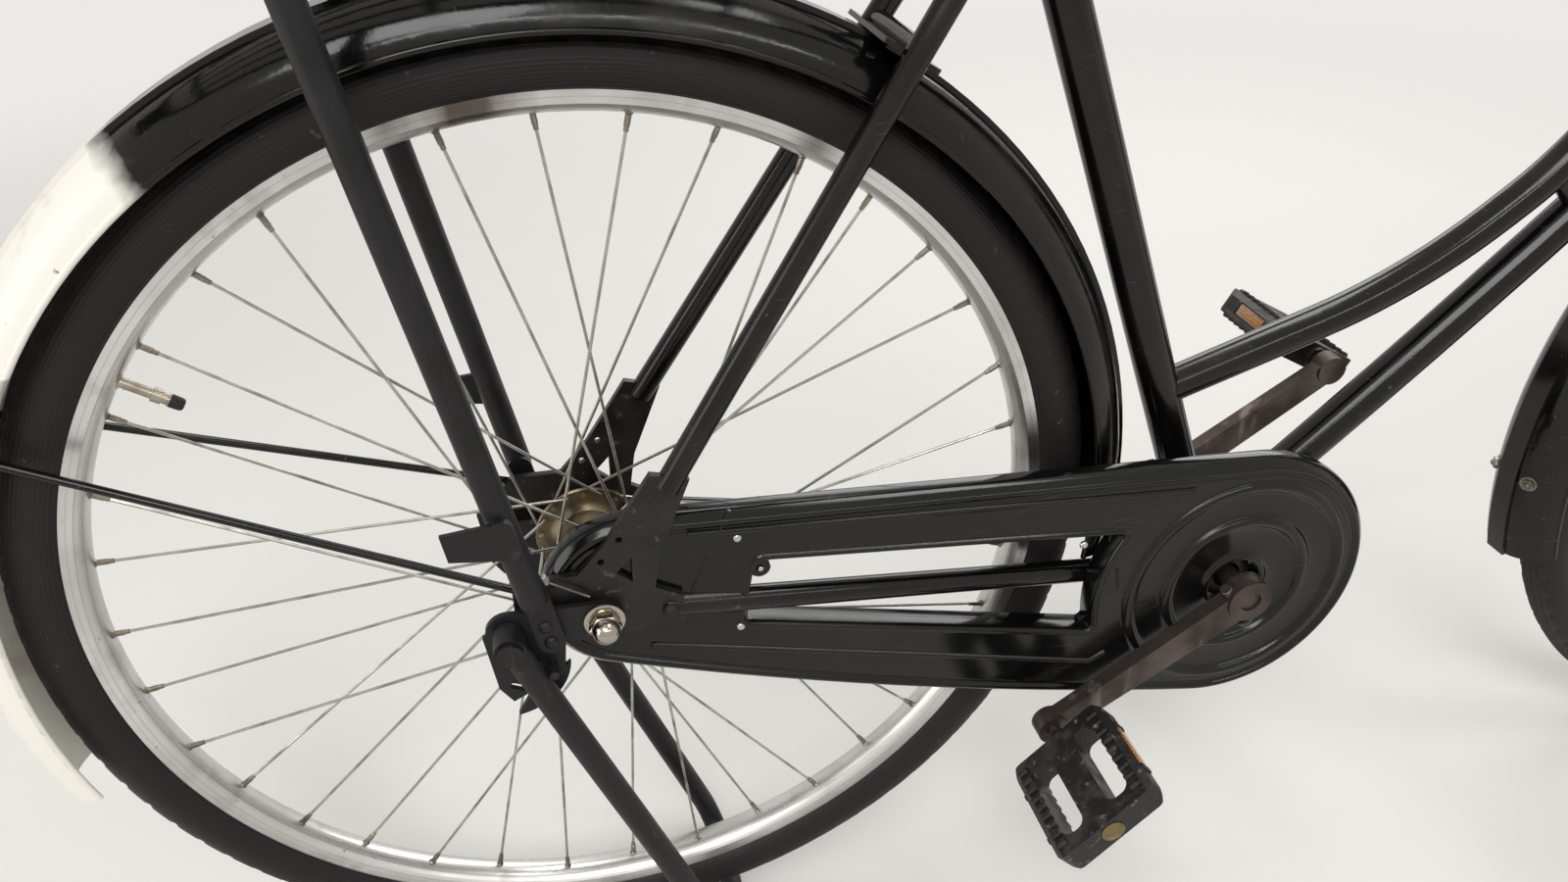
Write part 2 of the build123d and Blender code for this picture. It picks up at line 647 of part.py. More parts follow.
def carrier_rack():
    rack = pipe(rail_path(), DECK_RAIL_R)
    front = DECK_FRONT_BEND_X - 20
    rear = DECK_REAR_X + 46
    for x in (front, rear, (front + rear) / 2):
        rack += rod((x, -DECK_RAIL_Y, DECK_Z), (x, DECK_RAIL_Y, DECK_Z), DECK_BAR_R)
    for row in (-1, 0, 1):
        y = row * DECK_BAR_SPACING
        rack += rod((rear, y, DECK_Z + 5), (front, y, DECK_Z + 5), DECK_BAR_R)
    lamp_plate = Pos(DECK_REAR_X - DECK_RAIL_R + 1.5, 0, DECK_Z - 17) * Box(3, 74, 34)
    for side in (-1, 1):
        lamp_plate -= Pos(DECK_REAR_X - DECK_RAIL_R, side * 25, DECK_Z - 20) * Rot(0, 90, 0) * Cylinder(2.75, 20)
    for leg in carrier_legs():
        rack -= leg
    return rack + lamp_plate


# Mudguards


def guard_arch():
    """The radius of the arched section and how far its centre lies from the axle."""
    crown_r = GUARD_OUTER_R - GUARD_RIB_HEIGHT
    rise = crown_r - GUARD_EDGE_R
    arch_r = (GUARD_HALF_WIDTH ** 2 + rise ** 2) / (2 * rise)
    return arch_r, crown_r - arch_r


def guard_section():
    """The arched section with its raised middle rib and rolled edges, X across and Y outward."""
    def arch(half, top):
        curve = ThreePointArc((half, GUARD_EDGE_R), (0, top), (-half, GUARD_EDGE_R))
        return make_face([curve, Line((-half, GUARD_EDGE_R), (half, GUARD_EDGE_R))])

    crown_r = GUARD_OUTER_R - GUARD_RIB_HEIGHT
    shell = arch(GUARD_HALF_WIDTH, crown_r) - arch(GUARD_HALF_WIDTH - GUARD_WALL, crown_r - GUARD_WALL)
    rib_depth = GUARD_RIB_HEIGHT + GUARD_WALL
    shell += Pos(0, GUARD_OUTER_R - rib_depth / 2) * Rectangle(GUARD_RIB_HALF_WIDTH * 2, rib_depth)
    for side in (-1, 1):
        shell += Pos(side * (GUARD_HALF_WIDTH - GUARD_WALL / 2), GUARD_EDGE_R + 0.5) * Circle(GUARD_ROLL_R)
    return shell


def guard(angles):
    return around_axle(guard_section(), *angles)


def guard_stay(eye, bolt_angle, y_low):
    """A wire on the right from an eye beside the axle, in past the guard's edge, to a bolt in its back."""
    middle = y_low + EYE_THICKNESS / 2
    start = Vector(eye[0], -middle, eye[1])
    outward = direction(bolt_angle)
    knee = outward * GUARD_STAY_KNEE_R - SIDE_Y * GUARD_STAY_KNEE_Y
    arch_r, arch_centre = guard_arch()
    reach = arch_r - GUARD_WALL - GUARD_STAY_R - SEAT_GAP
    turn = math.radians(GUARD_BOLT_ANGLE_IN_SECTION)
    tip = outward * (arch_centre + reach * math.cos(turn)) - SIDE_Y * reach * math.sin(turn)
    bar = rod(start, knee, GUARD_STAY_R)
    bar -= disc(eye, -y_low, -y_low + 20, 16)
    bar -= disc(eye, -y_low - EYE_THICKNESS - 10, -y_low - EYE_THICKNESS, 16)
    bar += disc(eye, -y_low - EYE_THICKNESS, -y_low, 7.0)
    bar += rod(knee, tip, GUARD_STAY_R)
    for bend in (knee, tip):
        bar += Pos(*bend) * Sphere(GUARD_STAY_R)
    return bar


def rear_guard_stays():
    right = guard_stay((-40, 22), REAR_STAY_ANGLE, DROPOUT_IN + DROPOUT_THICKNESS + 0.2) - dropout_room(-1)
    return Compound(both_sides(right))


def front_guard_stays():
    right = guard_stay((0, 0), FRONT_STAY_ANGLE, FORK_LEG_Y + FORK_END_THICKNESS / 2 + 0.2)
    right -= disc((0, 0), -90, 0, AXLE_R + 0.1)
    return Compound([Pos(*FRONT_AXLE) * stay for stay in both_sides(right)])


# Chain case


def case_outline(inset=0.0):
    """Two round ends, joined by a straight top and a belly that is a long arc."""
    rear = Vector(*CASE_REAR)
    front = Vector(BRACKET.X, BRACKET.Z)
    rear_r = CASE_REAR_R - inset
    front_r = CASE_FRONT_R - inset
    belly_r = CASE_BELLY_R - inset
    span = front - rear
    ahead = span.normalized()
    above = Vector(-ahead.Y, ahead.X)
    near = belly_r - rear_r
    far = belly_r - front_r
    along = (near ** 2 - far ** 2 + span.length ** 2) / (2 * span.length)
    belly_centre = rear + ahead * along + above * math.sqrt(near ** 2 - along ** 2)
    belly_rear = belly_centre + (rear - belly_centre).normalized() * belly_r
    belly_front = belly_centre + (front - belly_centre).normalized() * belly_r
    belly_middle = belly_centre + ((rear + front) * 0.5 - belly_centre).normalized() * belly_r
    lean = math.acos((rear_r - front_r) / span.length)
    upward = ahead * math.cos(lean) + above * math.sin(lean)
    top_rear = rear + upward * rear_r
    top_front = front + upward * front_r
    return make_face([
        Line(top_front, top_rear),
        ThreePointArc(top_rear, rear - ahead * rear_r, belly_rear),
        ThreePointArc(belly_rear, belly_middle, belly_front),
        ThreePointArc(belly_front, front + ahead * front_r, top_front)])


def case_window():
    face = make_face(Polyline(*CASE_WINDOW, close=True))
    face -= Pos(BRACKET.X, BRACKET.Z) * Circle(CASE_DISC_R)
    return fillet(face.vertices(), CASE_WINDOW_CORNER_R)


def case_ridge(points):
    """A raised line on the case's face, through a few points."""
    runs = [link(a, CASE_RIDGE_WIDTH / 2, b, CASE_RIDGE_WIDTH / 2) for a, b in zip(points, points[1:])]
    ridge = runs[0]
    for run in runs[1:]:
        ridge += run
    return plate(ridge, -CASE_OUT - CASE_RELIEF / 2, -CASE_OUT + 1)


def chain_case():
    case = plate(case_outline(), -CASE_OUT, -CASE_IN)
    case = fillet(case.faces().sort_by(Axis.Y)[0].edges(), CASE_EDGE_FILLET)
    case = fillet(case.faces().sort_by(Axis.Y)[-1].edges(), CASE_BACK_FILLET)
    case -= plate(case_window(), -CASE_OUT - 5, -CASE_IN + 5)
    case -= plate(offset(case_window(), CASE_WINDOW_LIP), -CASE_OUT - 5, -CASE_OUT + CASE_WINDOW_LIP / 2)
    bead = case_outline(CASE_BEAD_INSET) - case_outline(CASE_BEAD_INSET + CASE_BEAD_WIDTH)
    case += plate(bead, -CASE_OUT - CASE_RELIEF / 2, -CASE_OUT + 1)
    for ring_r in CASE_RING_RADII:
        ring = Circle(ring_r) - Circle(ring_r - CASE_RING_WIDTH)
        case += plate(Pos(BRACKET.X, BRACKET.Z) * ring, -CASE_OUT - CASE_RELIEF, -CASE_OUT + 1)
    for points in (CASE_LOWER_RIDGE, CASE_UPPER_RIDGE):
        case += case_ridge(points)
    case -= disc((BRACKET.X, BRACKET.Z), -CASE_OUT - 5, -CASE_IN + 5, CASE_BORE_R)
    case -= disc((0, 0), -CASE_OUT - 5, -CASE_IN + 5, SPACER_R + 0.6)
    case -= chain_stay_line(-1, CHAIN_STAY_R + CASE_STAY_GAP)
    case -= dropout_room(-1)
    return case


# Cranks and pedals


def crank_point(side, distance=CRANK_LENGTH):
    angle = CRANK_ANGLE if side < 0 else CRANK_ANGLE - 180
    point = BRACKET + direction(angle) * distance
    return (point.X, point.Z)


def crank_axle():
    reach = CRANK_IN + CRANK_THICKNESS - 2
    return disc((BRACKET.X, BRACKET.Z), -reach, reach, CRANK_AXLE_R)


def crank(side):
    low, high = sorted((side * CRANK_IN, side * (CRANK_IN + CRANK_THICKNESS)))
    centre = (BRACKET.X, BRACKET.Z)
    eye = crank_point(side)
    arm = plate(link(centre, CRANK_BOSS_R * 0.75, eye, CRANK_EYE_R * 0.8), low + 1.5, high - 1.5)
    arm += disc(centre, low, high, CRANK_BOSS_R)
    arm += disc(eye, low, high, CRANK_EYE_R)
    axle_bore = disc(centre, low - 1, high + 1, CRANK_AXLE_R + WELD_GAP)
    low, high = sorted((side * (CRANK_IN + 4), side * (PEDAL_IN + PEDAL_WIDTH - 6)))
    return arm - axle_bore + disc(eye, low, high, PEDAL_SPINDLE_R)


def pedal(side, tilt):
    """A moulded block pedal: toothed rails, chamfered ends and a barrel that turns on the spindle."""
    half = PEDAL_LENGTH / 2
    middle = PEDAL_IN + PEDAL_WIDTH / 2
    plan = RectangleRounded(PEDAL_LENGTH, PEDAL_WIDTH, PEDAL_CORNER_R)
    opening_length = half - PEDAL_RAIL - PEDAL_BARREL_R
    opening = RectangleRounded(opening_length, PEDAL_WIDTH - PEDAL_END * 2, PEDAL_CORNER_R * 0.8)
    for end in (-1, 1):
        plan -= Pos(end * (PEDAL_BARREL_R + opening_length / 2), 0) * opening
    block = extrude(plan, PEDAL_HEIGHT / 2, both=True)
    corner = make_face(Polyline((0, 0), (PEDAL_EDGE_CHAMFER, 0), (0, PEDAL_EDGE_CHAMFER), close=True))
    for turn in (0, 180):
        for flip in (0, 180):
            wedge = extrude(Plane.XZ * Pos(-half, -PEDAL_HEIGHT / 2) * corner, PEDAL_WIDTH, both=True)
            block -= Rot(flip, 0, turn) * wedge
    pitch = (PEDAL_WIDTH - PEDAL_CORNER_R * 2) / (PEDAL_TOOTH_COUNT - 1)
    tooth_length = PEDAL_RAIL - PEDAL_EDGE_CHAMFER
    for number in range(PEDAL_TOOTH_COUNT):
        along = (number - (PEDAL_TOOTH_COUNT - 1) / 2) * pitch
        tooth = Rot(0, 90, 0) * Cylinder(PEDAL_TOOTH_R, tooth_length)
        for end in (-1, 1):
            for face in (-1, 1):
                block += Pos(end * (half - PEDAL_RAIL + tooth_length / 2), along, face * PEDAL_HEIGHT / 2) * tooth
    barrel = Rot(90, 0, 0) * Cylinder(PEDAL_BARREL_R, PEDAL_WIDTH)
    boss = Pos(0, -side * (PEDAL_WIDTH + PEDAL_BOSS_LENGTH) / 2, 0) * Rot(90, 0, 0)
    block += barrel + boss * Cylinder(PEDAL_BARREL_R * 0.9, PEDAL_BOSS_LENGTH)
    bore = Pos(0, -side * 4, 0) * Rot(90, 0, 0) * Cylinder(PEDAL_SPINDLE_R + AXLE_RUNNING_GAP, PEDAL_WIDTH + 6)
    x, z = crank_point(side)
    return Pos(x, side * middle, z) * Rot(0, -tilt, 0) * (block - bore)


# Fork and front end


def fork_leg(side):
    top = on_steering(CROWN_START + CROWN_THICKNESS / 2, 0, side * FORK_LEG_Y)
    bend = on_steering(FORK_BEND_START, 0, side * FORK_LEG_Y)
    end = FRONT_AXLE + SIDE_Y * side * FORK_LEG_Y
    leg = rod(top, bend, FORK_LEG_R)
    arc = TangentArc(bend, end, tangent=STEER_DIRECTION * -1)
    first = Plane(origin=arc @ 0, z_dir=arc % 0) * Circle(FORK_LEG_R)
    last = Plane(origin=arc @ 1, z_dir=arc % 1) * Circle(FORK_TIP_R)
    leg += sweep(sections=[first, last], path=arc, multisection=True)
    low, high = sorted((side * (FORK_LEG_Y - FORK_END_THICKNESS / 2), side * (FORK_LEG_Y + FORK_END_THICKNESS / 2)))
    tip = (FRONT_AXLE.X, FRONT_AXLE.Z)
    for y_low, y_high in ((low - 12, low), (high, high + 12)):
        leg -= disc(tip, y_low, y_high, 21)
    leg += disc(tip, low, high, 13.0)
    return leg - disc(tip, low - 1, high + 1, AXLE_R + 0.1)


def fork():
    body = fork_leg(-1) + fork_leg(1)
    start = on_steering(CROWN_START)
    bar_plane = Plane(origin=start, x_dir=(0, 1, 0), z_dir=STEER_DIRECTION)
    bar = SlotCenterToCenter(FORK_LEG_Y * 2, FORK_LEG_R * 2 + 4)
    body += extrude(bar_plane * bar, CROWN_THICKNESS)
    crown_top = CROWN_START + CROWN_THICKNESS
    body += rod(on_steering(crown_top - 1), on_steering(HEAD_TUBE_START - CROWN_RACE_GAP), HEAD_TUBE_R)
    body += rod(on_steering(CROWN_START), on_steering(HEAD_TUBE_END + 4), STEERER_R)
    body -= rod(on_steering(CROWN_START + 20), on_steering(HEAD_TUBE_END + 5), STEM_R + 0.15)
    return body


def headset_nut():
    ring = rod(on_steering(HEAD_TUBE_END + 0.5), on_steering(HEAD_TUBE_END + 12), HEAD_CUP_R - 1)
    return ring - rod(on_steering(HEAD_TUBE_END), on_steering(HEAD_TUBE_END + 5), STEERER_R + 0.1) \
        - rod(on_steering(HEAD_TUBE_END), on_steering(HEAD_TUBE_END + 13), STEM_R + 0.1)


def front_axle():
    axle = disc((WHEELBASE, 0), -FRONT_AXLE_HALF_LENGTH, FRONT_AXLE_HALF_LENGTH, AXLE_R)
    for side in (-1, 1):
        y = FORK_LEG_Y + FORK_END_THICKNESS / 2 + EYE_THICKNESS + 0.4
        low, high = sorted((side * y, side * (y + 9)))
        axle += disc((WHEELBASE, 0), low, high, NUT_R)
    return axle


CLAMP = on_steering(STEM_TOP) + Vector(STEM_REACH, 0, 6)


def stem():
    quill = rod(on_steering(HEAD_TUBE_START + 60), on_steering(STEM_TOP), STEM_R)
    top = on_steering(STEM_TOP)
    arm = rod(top, CLAMP, STEM_R)
    knob = Pos(*top) * Sphere(STEM_R + 0.5)
    collar = disc((CLAMP.X, CLAMP.Z), -19, 19, BAR_R + 5)
    return quill + arm + knob + collar - disc((CLAMP.X, CLAMP.Z), -30, 30, BAR_R + 0.1)


def bar_path():
    """Right half to left half of the swept-back handlebar."""
    points = [CLAMP + Vector(x, -y, z) for x, y, z in reversed(BAR_CORNERS)]
    points += [CLAMP + Vector(x, y, z) for x, y, z in BAR_CORNERS]
    return FilletPolyline(*points, radius=BAR_BEND_R)


def handlebar():
    return pipe(bar_path(), BAR_R)


def grips():
    path = bar_path()
    pieces = []
    for at, sign in ((0, 1), (1, -1)):
        end = path @ at
        inward = (path % at) * sign
        outer = end - inward * 4
        sleeve = rod(outer, end + inward * GRIP_LENGTH, GRIP_R)
        sleeve -= rod(end - inward * 0.2, end + inward * (GRIP_LENGTH + 1), BAR_R + 0.12)
        pieces.append(sleeve)
    return pieces


def headlight():
    """A battery lamp on its bracket, ahead of the head tube and fixed to the fork crown."""
    centre = on_steering(LAMP_AT, LAMP_FORWARD)
    body = Pos(*centre) * Rot(0, 90, 0) * Cylinder(LAMP_R, LAMP_LENGTH)
    body += Pos(centre.X - LAMP_LENGTH / 2, 0, centre.Z) * Sphere(LAMP_R)
    crown_middle = CROWN_START + CROWN_THICKNESS / 2
    crown_front = FORK_LEG_R + 2 + SEAT_GAP
    elbow = on_steering(crown_middle, LAMP_FORWARD - 48)
    bracket = rod(on_steering(crown_middle, crown_front), elbow, 5.0)
    bracket += Pos(*elbow) * Sphere(5.0)
    bracket += rod(elbow, on_steering(LAMP_AT, LAMP_FORWARD - 22), 5.0)
    return body + bracket


def bell():
    """A domed bell on a ring round the straight middle of the bar."""
    place = CLAMP - SIDE_Y * 38
    ring = disc((place.X, place.Z), place.Y - 6, place.Y + 6, BAR_R + 3)
    ring += rod(place, place + Vector(0, 0, 24), 4.0)
    ring -= disc((place.X, place.Z), place.Y - 7, place.Y + 7, BAR_R + 0.1)
    base = place.Z + 22
    dome = Pos(place.X, place.Y, base) * Sphere(BELL_R) - Pos(place.X, place.Y, base - 30) * Box(80, 80, 60)
    return dome + ring


# Seat


def seat_post():
    post = rod(on_seat_tube(SEAT_TUBE_LENGTH - 120), on_seat_tube(POST_TOP + BRACKET_DROP - 20), POST_R)
    return post


def saddle():
    """The padded top: broad behind, narrow in front, slightly dished."""
    back = SADDLE_X - SADDLE_LENGTH / 2
    sections = []
    for x, half, thick in SADDLE_STATIONS:
        plane = Plane(origin=(back + x, 0, SADDLE_TOP), x_dir=(0, 1, 0), z_dir=(1, 0, 0))
        corner = min(half, thick / 2) * 0.9
        shape = Pos(0, -thick / 2) * RectangleRounded(half * 2, thick, corner)
        sections.append(plane * shape)
    return loft(sections)


def saddle_underframe():
    """The rails, clamp and rear coil springs below the saddle."""
    clamp = on_seat_tube(POST_TOP + BRACKET_DROP - 34)
    low = SADDLE_TOP - 48
    body = disc((clamp.X, clamp.Z + 4), -24, 24, 13)
    post_room = rod(on_seat_tube(SEAT_TUBE_LENGTH), on_seat_tube(POST_TOP + BRACKET_DROP), POST_R + 0.12)
    for side in (-1, 1):
        rear = Vector(SADDLE_X - 88, side * SPRING_Y, clamp.Z - 2)
        body += rod((clamp.X, side * 22, clamp.Z + 4), rear, SADDLE_RAIL_R)
        body += rod((clamp.X, side * 18, clamp.Z + 4), (SADDLE_X + 84, side * 12, low + 3), SADDLE_RAIL_R)
        body += rod((rear.X, rear.Y, clamp.Z - 6), (rear.X, rear.Y, low + 16), SPRING_R)
    return body - post_room - Pos(0, 0, -SEAT_GAP) * saddle()


def rear_reflector():
    spot = direction(170.0)
    outside = GUARD_OUTER_R + SEAT_GAP
    return extrude(Plane(origin=spot * outside, z_dir=spot) * Circle(22), 9)


# Set the bicycle down on its stand, and put the origin under the middle of its box

PITCH = math.degrees(math.asin(STAND_LIFT / WHEELBASE))

pieces = {
    "rear_tyre": tyre(),
    "rear_rim": rim(),
    "rear_hub": hub_with_spokes(**REAR_HUB),
    "front_tyre": Pos(*FRONT_AXLE) * tyre(),
    "front_rim": Pos(*FRONT_AXLE) * rim(),
    "front_hub": Pos(*FRONT_AXLE) * hub_with_spokes(**FRONT_HUB),
    "bracket_shell": bracket_shell(),
    "seat_tube": seat_tube(),
    "down_tube": down_tube(),
    "top_tube": top_tube(),
    "tube_bridge": tube_bridge(),
    "head_tube": head_tube(),
    "chain_stay_right": chain_stay(-1),
    "chain_stay_left": chain_stay(1),
    "seat_stay_right": seat_stay(-1),
    "seat_stay_left": seat_stay(1),
    "stay_bridge": stay_bridge(),
    "dropout_right": dropout(-1),
    "dropout_left": dropout(1),
    "rear_axle": rear_axle(),
    "brake_arm": brake_arm(),
    "axle_plates": Compound(axle_plates()),
    "stand": stand(),
    "carrier_legs": Compound(carrier_legs()),
    "carrier_rack": carrier_rack(),
    "rear_mudguard": guard(REAR_GUARD_ANGLES),
    "rear_mudguard_stays": rear_guard_stays(),
    "front_mudguard": Pos(*FRONT_AXLE) * guard(FRONT_GUARD_ANGLES),
    "front_mudguard_stays": front_guard_stays(),
    "chain_case": chain_case(),
    "crank_axle": crank_axle(),
    "crank_right": crank(-1),
    "crank_left": crank(1),
    "pedal_right": pedal(-1, PEDAL_TILT[0]),
    "pedal_left": pedal(1, PEDAL_TILT[1]),
    "fork": fork(),
    "headset_nut": headset_nut(),
    "front_axle": front_axle(),
    "stem": stem(),
    "handlebar": handlebar(),
    "grips": Compound(grips()),
    "headlight": headlight(),
    "bell": bell(),
    "seat_post": seat_post(),
    "saddle": saddle(),
    "saddle_underframe": saddle_underframe(),
    "rear_reflector": rear_reflector(),
}

parked = {name: Rot(0, PITCH, 0) * piece for name, piece in pieces.items()}
boxes = [piece.bounding_box() for piece in parked.values()]
low_x = min(box.min.X for box in boxes)
high_x = max(box.max.X for box in boxes)
low_y = min(box.min.Y for box in boxes)
high_y = max(box.max.Y for box in boxes)
low_z = min(box.min.Z for box in boxes)
shift = Vector(-(low_x + high_x) / 2, -(low_y + high_y) / 2, -low_z)

for name, piece in parked.items():
    export_step(Pos(*shift) * piece, f"parts/{name}.step")
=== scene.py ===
import json
import math

import bmesh
import bpy
from mathutils import Matrix, Vector
from mathutils.bvhtree import BVHTree
from mathutils.geometry import tessellate_polygon


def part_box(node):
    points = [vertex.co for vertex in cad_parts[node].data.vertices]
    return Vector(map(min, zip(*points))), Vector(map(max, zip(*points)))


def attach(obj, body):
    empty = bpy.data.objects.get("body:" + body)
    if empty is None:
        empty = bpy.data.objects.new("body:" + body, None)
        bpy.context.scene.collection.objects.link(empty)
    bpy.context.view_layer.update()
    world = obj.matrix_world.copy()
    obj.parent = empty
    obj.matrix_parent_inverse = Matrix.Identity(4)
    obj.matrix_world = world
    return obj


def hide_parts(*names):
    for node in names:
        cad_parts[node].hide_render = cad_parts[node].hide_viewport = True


bl_info = {
    "name": "Lady's roadster bicycle",
    "version": (1, 0, 0),
    "blender": (4, 5, 0),
    "location": "3D View > Sidebar > Bicycle",
    "description": "Dresses the packed bicycle: tyres, spokes, saddle, nuts, lamps, finishes and its studio",
    "category": "Object",
}

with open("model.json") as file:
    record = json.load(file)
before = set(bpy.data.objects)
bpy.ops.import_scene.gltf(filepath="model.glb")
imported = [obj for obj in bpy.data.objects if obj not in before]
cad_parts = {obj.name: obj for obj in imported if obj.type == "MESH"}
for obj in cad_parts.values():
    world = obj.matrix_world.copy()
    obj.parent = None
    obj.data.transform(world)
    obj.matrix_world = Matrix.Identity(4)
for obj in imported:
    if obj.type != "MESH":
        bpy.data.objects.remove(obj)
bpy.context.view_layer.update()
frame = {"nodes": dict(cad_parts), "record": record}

METRE = 1000
RIGHT = Vector((0, -1, 0))

# The bicycle's own frame: millimetres from the rear axle, before it is set down on its stand
rear_low, rear_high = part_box("rear_rim")
front_low, front_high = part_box("front_rim")
REAR_AXLE = (rear_low + rear_high) / 2
FRONT_AXLE = (front_low + front_high) / 2
PITCH = math.atan2(REAR_AXLE.z - FRONT_AXLE.z, FRONT_AXLE.x - REAR_AXLE.x)
TILT = Matrix.Rotation(PITCH, 3, "Y")
BIKE_TO_SCENE = Matrix.Translation(REAR_AXLE) @ TILT.to_4x4() @ Matrix.Scale(1 / METRE, 4)
WHEELBASE = (FRONT_AXLE - REAR_AXLE).length * METRE
RIM_R = (rear_high.z - rear_low.z) * METRE / 2
tyre_low, tyre_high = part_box("rear_tyre")
TYRE_R = (tyre_high.z - tyre_low.z) * METRE / 2

# Steering head, then the bars with their grips, the lamp and the bell
HEAD_ANGLE = 68.0
RAKE = 70.0
STEM_TOP = 700.0
STEM_REACH = 52.0
BAR_END = Vector((-235, 285, 62))
BAR_LAST_BEND = Vector((-70, 235, 78))
GRIP_LENGTH = 122.0
GRIP_RIBS = 13
GRIP_RIB_PITCH = 8.2
LAMP_AT = 486.0
LAMP_FORWARD = 92.0
LAMP_R = 34.0
LAMP_LENGTH = 62.0
BELL_Y = -38.0

# Cranks and pedals
BRACKET = Vector((461, 0, -60))
CRANK_LENGTH = 170.0
CRANK_ANGLE = 214.5
CRANK_IN = 66.0
CRANK_THICKNESS = 14.0
PEDAL_IN = 92.0
PEDAL_WIDTH = 84.0
PEDAL_HALF_LENGTH = 42.0
PEDAL_TILT = (45.0, -28.0)
PEDAL_PRISM_HALVES = (1.0, 17.0, 4.6)
PEDAL_HOLDER_HALVES = (1.4, 2.4, 5.6)
PEDAL_HOLDER_Y = 20
BRACKET_CUP = ((34.2, 10.5), (34.2, 19.7), (44.0, 19.7), (45.2, 18.6), (46.5, 13.0), (46.5, 10.5))
COTTER_OFFSET = 9.5

# Chain case: its outline, window and ridges, then its small screws, sunk tabs and seams
CASE_OUT = 57.3
CASE_IN = 39.0
CASE_FRONT_R = 106.5
CASE_REAR = Vector((20, 0, 5))
CASE_REAR_R = 58.0
CASE_BELLY_R = 2700.0
CASE_DISC_R = 114.0
CASE_AXLE_BORE_R = 10.1
CASE_REAR_STEPS, CASE_BELLY_STEPS, CASE_FRONT_STEPS, CASE_TOP_STEPS = 30, 24, 60, 20
CASE_DISC_STEPS = 120
CASE_BORE_STEPS = 36
CASE_WINDOW = ((100.0, 20.0), (400.0, -3.0), (400.0, -94.0), (92.0, -28.0))
CASE_WINDOW_CORNER = 6.0
CASE_RIDGE_R = 2.4
CASE_RIDGES = (((30.0, -37.0), (352.0, -113.6), (364.0, -107.0)), ((56.0, 47.6), (411.0, 29.9)))
CASE_STAY = (Vector((40, -56.5, -5)), Vector((445, -25, -61)))
CASE_STAY_ROOM_R = 8.9
CASE_SCREWS = ((87.8, 40.2), (89.8, -32.3), (332.5, -4.4))
CASE_TAB_Y = 43.0
CASE_TAB_SCREW_Y = 49.0
CASE_TAB_STEPS = ((0, 7.4), (5.4, 7.2), (6.0, 6.4))
CASE_TABS = ((363.7, -9.5), (350.3, -83.6), (104.7, 7.1))
CASE_SEAM_R = 1.2
CASE_SEAMS = (((57.8, 3.0), (83.0, 62.0)), ((365.5, -47.8), (361.9, -29.7)))

# Case sections: inset, offset or radius, each with its distance from the wheel's middle plane
CASE_EDGE = (
    (5.0, 39.0), (3.1, 39.4), (1.5, 40.5), (0.4, 42.1), (0.0, 44.0), (0.0, 49.6), (0.3, 51.4),
    (1.2, 53.4), (2.6, 55.2), (4.0, 56.6), (5.0, 57.8), (6.0, 58.6), (7.2, 58.9), (8.4, 58.6),
    (9.4, 57.8), (10.2, 56.8), (11.2, 56.5), (12.4, 57.0), (13.2, 57.3), (13.6, 57.3))
CASE_WINDOW_EDGE = (
    (6.4, 57.3), (5.8, 57.3), (5.0, 57.7), (4.2, 58.6), (3.2, 59.2), (2.0, 59.2), (1.0, 58.4),
    (0.3, 57.0), (0.0, 55.4), (0.0, 40.2), (0.4, 39.3), (1.0, 39.0))
CASE_DISC = (
    (91.5, 57.3), (90.8, 57.3), (89.8, 57.5), (88.8, 58.4), (87.8, 59.5), (86.2, 60.2), (84.2, 60.3),
    (82.4, 59.7), (81.2, 58.5), (80.2, 57.2), (79.0, 56.4), (77.4, 56.2), (70.0, 56.2), (62.4, 56.2),
    (61.0, 56.4), (59.8, 57.2), (58.8, 58.5), (57.4, 59.7), (55.4, 60.2), (53.4, 60.0), (51.8, 58.9),
    (50.8, 57.4), (49.6, 56.2), (47.8, 55.6), (38.0, 54.6), (29.0, 54.8), (26.2, 55.4), (24.6, 56.8),
    (23.0, 57.7), (21.4, 57.4), (20.2, 56.2), (20.0, 54.6), (20.0, 40.2), (20.4, 39.3), (21.0, 39.0))

# Mudguards, the angle where the white tail starts, and the dark stain's place on the rim
TAIL_ANGLE = 127.8
STAIN_PLACE = (-44.0, -12.0, 306.0)
GUARD_SECTION_R = 32.83
GUARD_SECTION_CENTRE_R = 345.4
GUARD_BOLT_ANGLE_IN_SECTION = 30.0
REAR_STAY_ANGLE = 157.4
FRONT_STAY_ANGLE = 186.0

# Rear end and the seat tube's collar
PLATE_FACE_Y = 70.3
LEG_TONGUE_FACE_Y = 75.7
LEG_RIVETS = ((-36.4, 5.0), (-33.9, -7.5))
PLATE_BOLT = (-44.0, -30.0)
STAY_END_BOLT = Vector((43, 64.3, -5.5))
SEAT_TUBE_ANGLE = 68.0
SEAT_COLLAR_AT = 556.0
STAY_WIRE = (Vector((-35, -66.4, 34)), Vector((0, -66.4, 12)))

# Saddle and its frame
SADDLE_CLAMP = Vector((204, 0, 580))
SADDLE_SPRING = Vector((88, 62, 570))
SADDLE_SPRING_HEIGHT = 53.0
SADDLE_SPRING_R = 12.0
SADDLE_NOSE = Vector((260, 12, 610))
SADDLE_RAIL_R = 3.6
SADDLE_RAIL_SAG = Vector((0, 0, 3))
SADDLE_RAIL_Y = 20.0
SADDLE_CHEEK_Y = 14.0
SADDLE_NUT_Y = 23.0
SPRING_PLATE = ((0, 12.5), (0.4, 14), (1.8, 14), (2.2, 12.5))
SADDLE_COIL_R = 2.3
SADDLE_COIL_STEPS = 20
SADDLE_BACK_INSET = 8.0
SADDLE_TOP_DROP = 10.0
SADDLE_EDGE_DROP = 9.0
SADDLE_RING = 28
SADDLE_SIDE_CURVE = 0.62
SADDLE_TOP_CURVE = 0.75
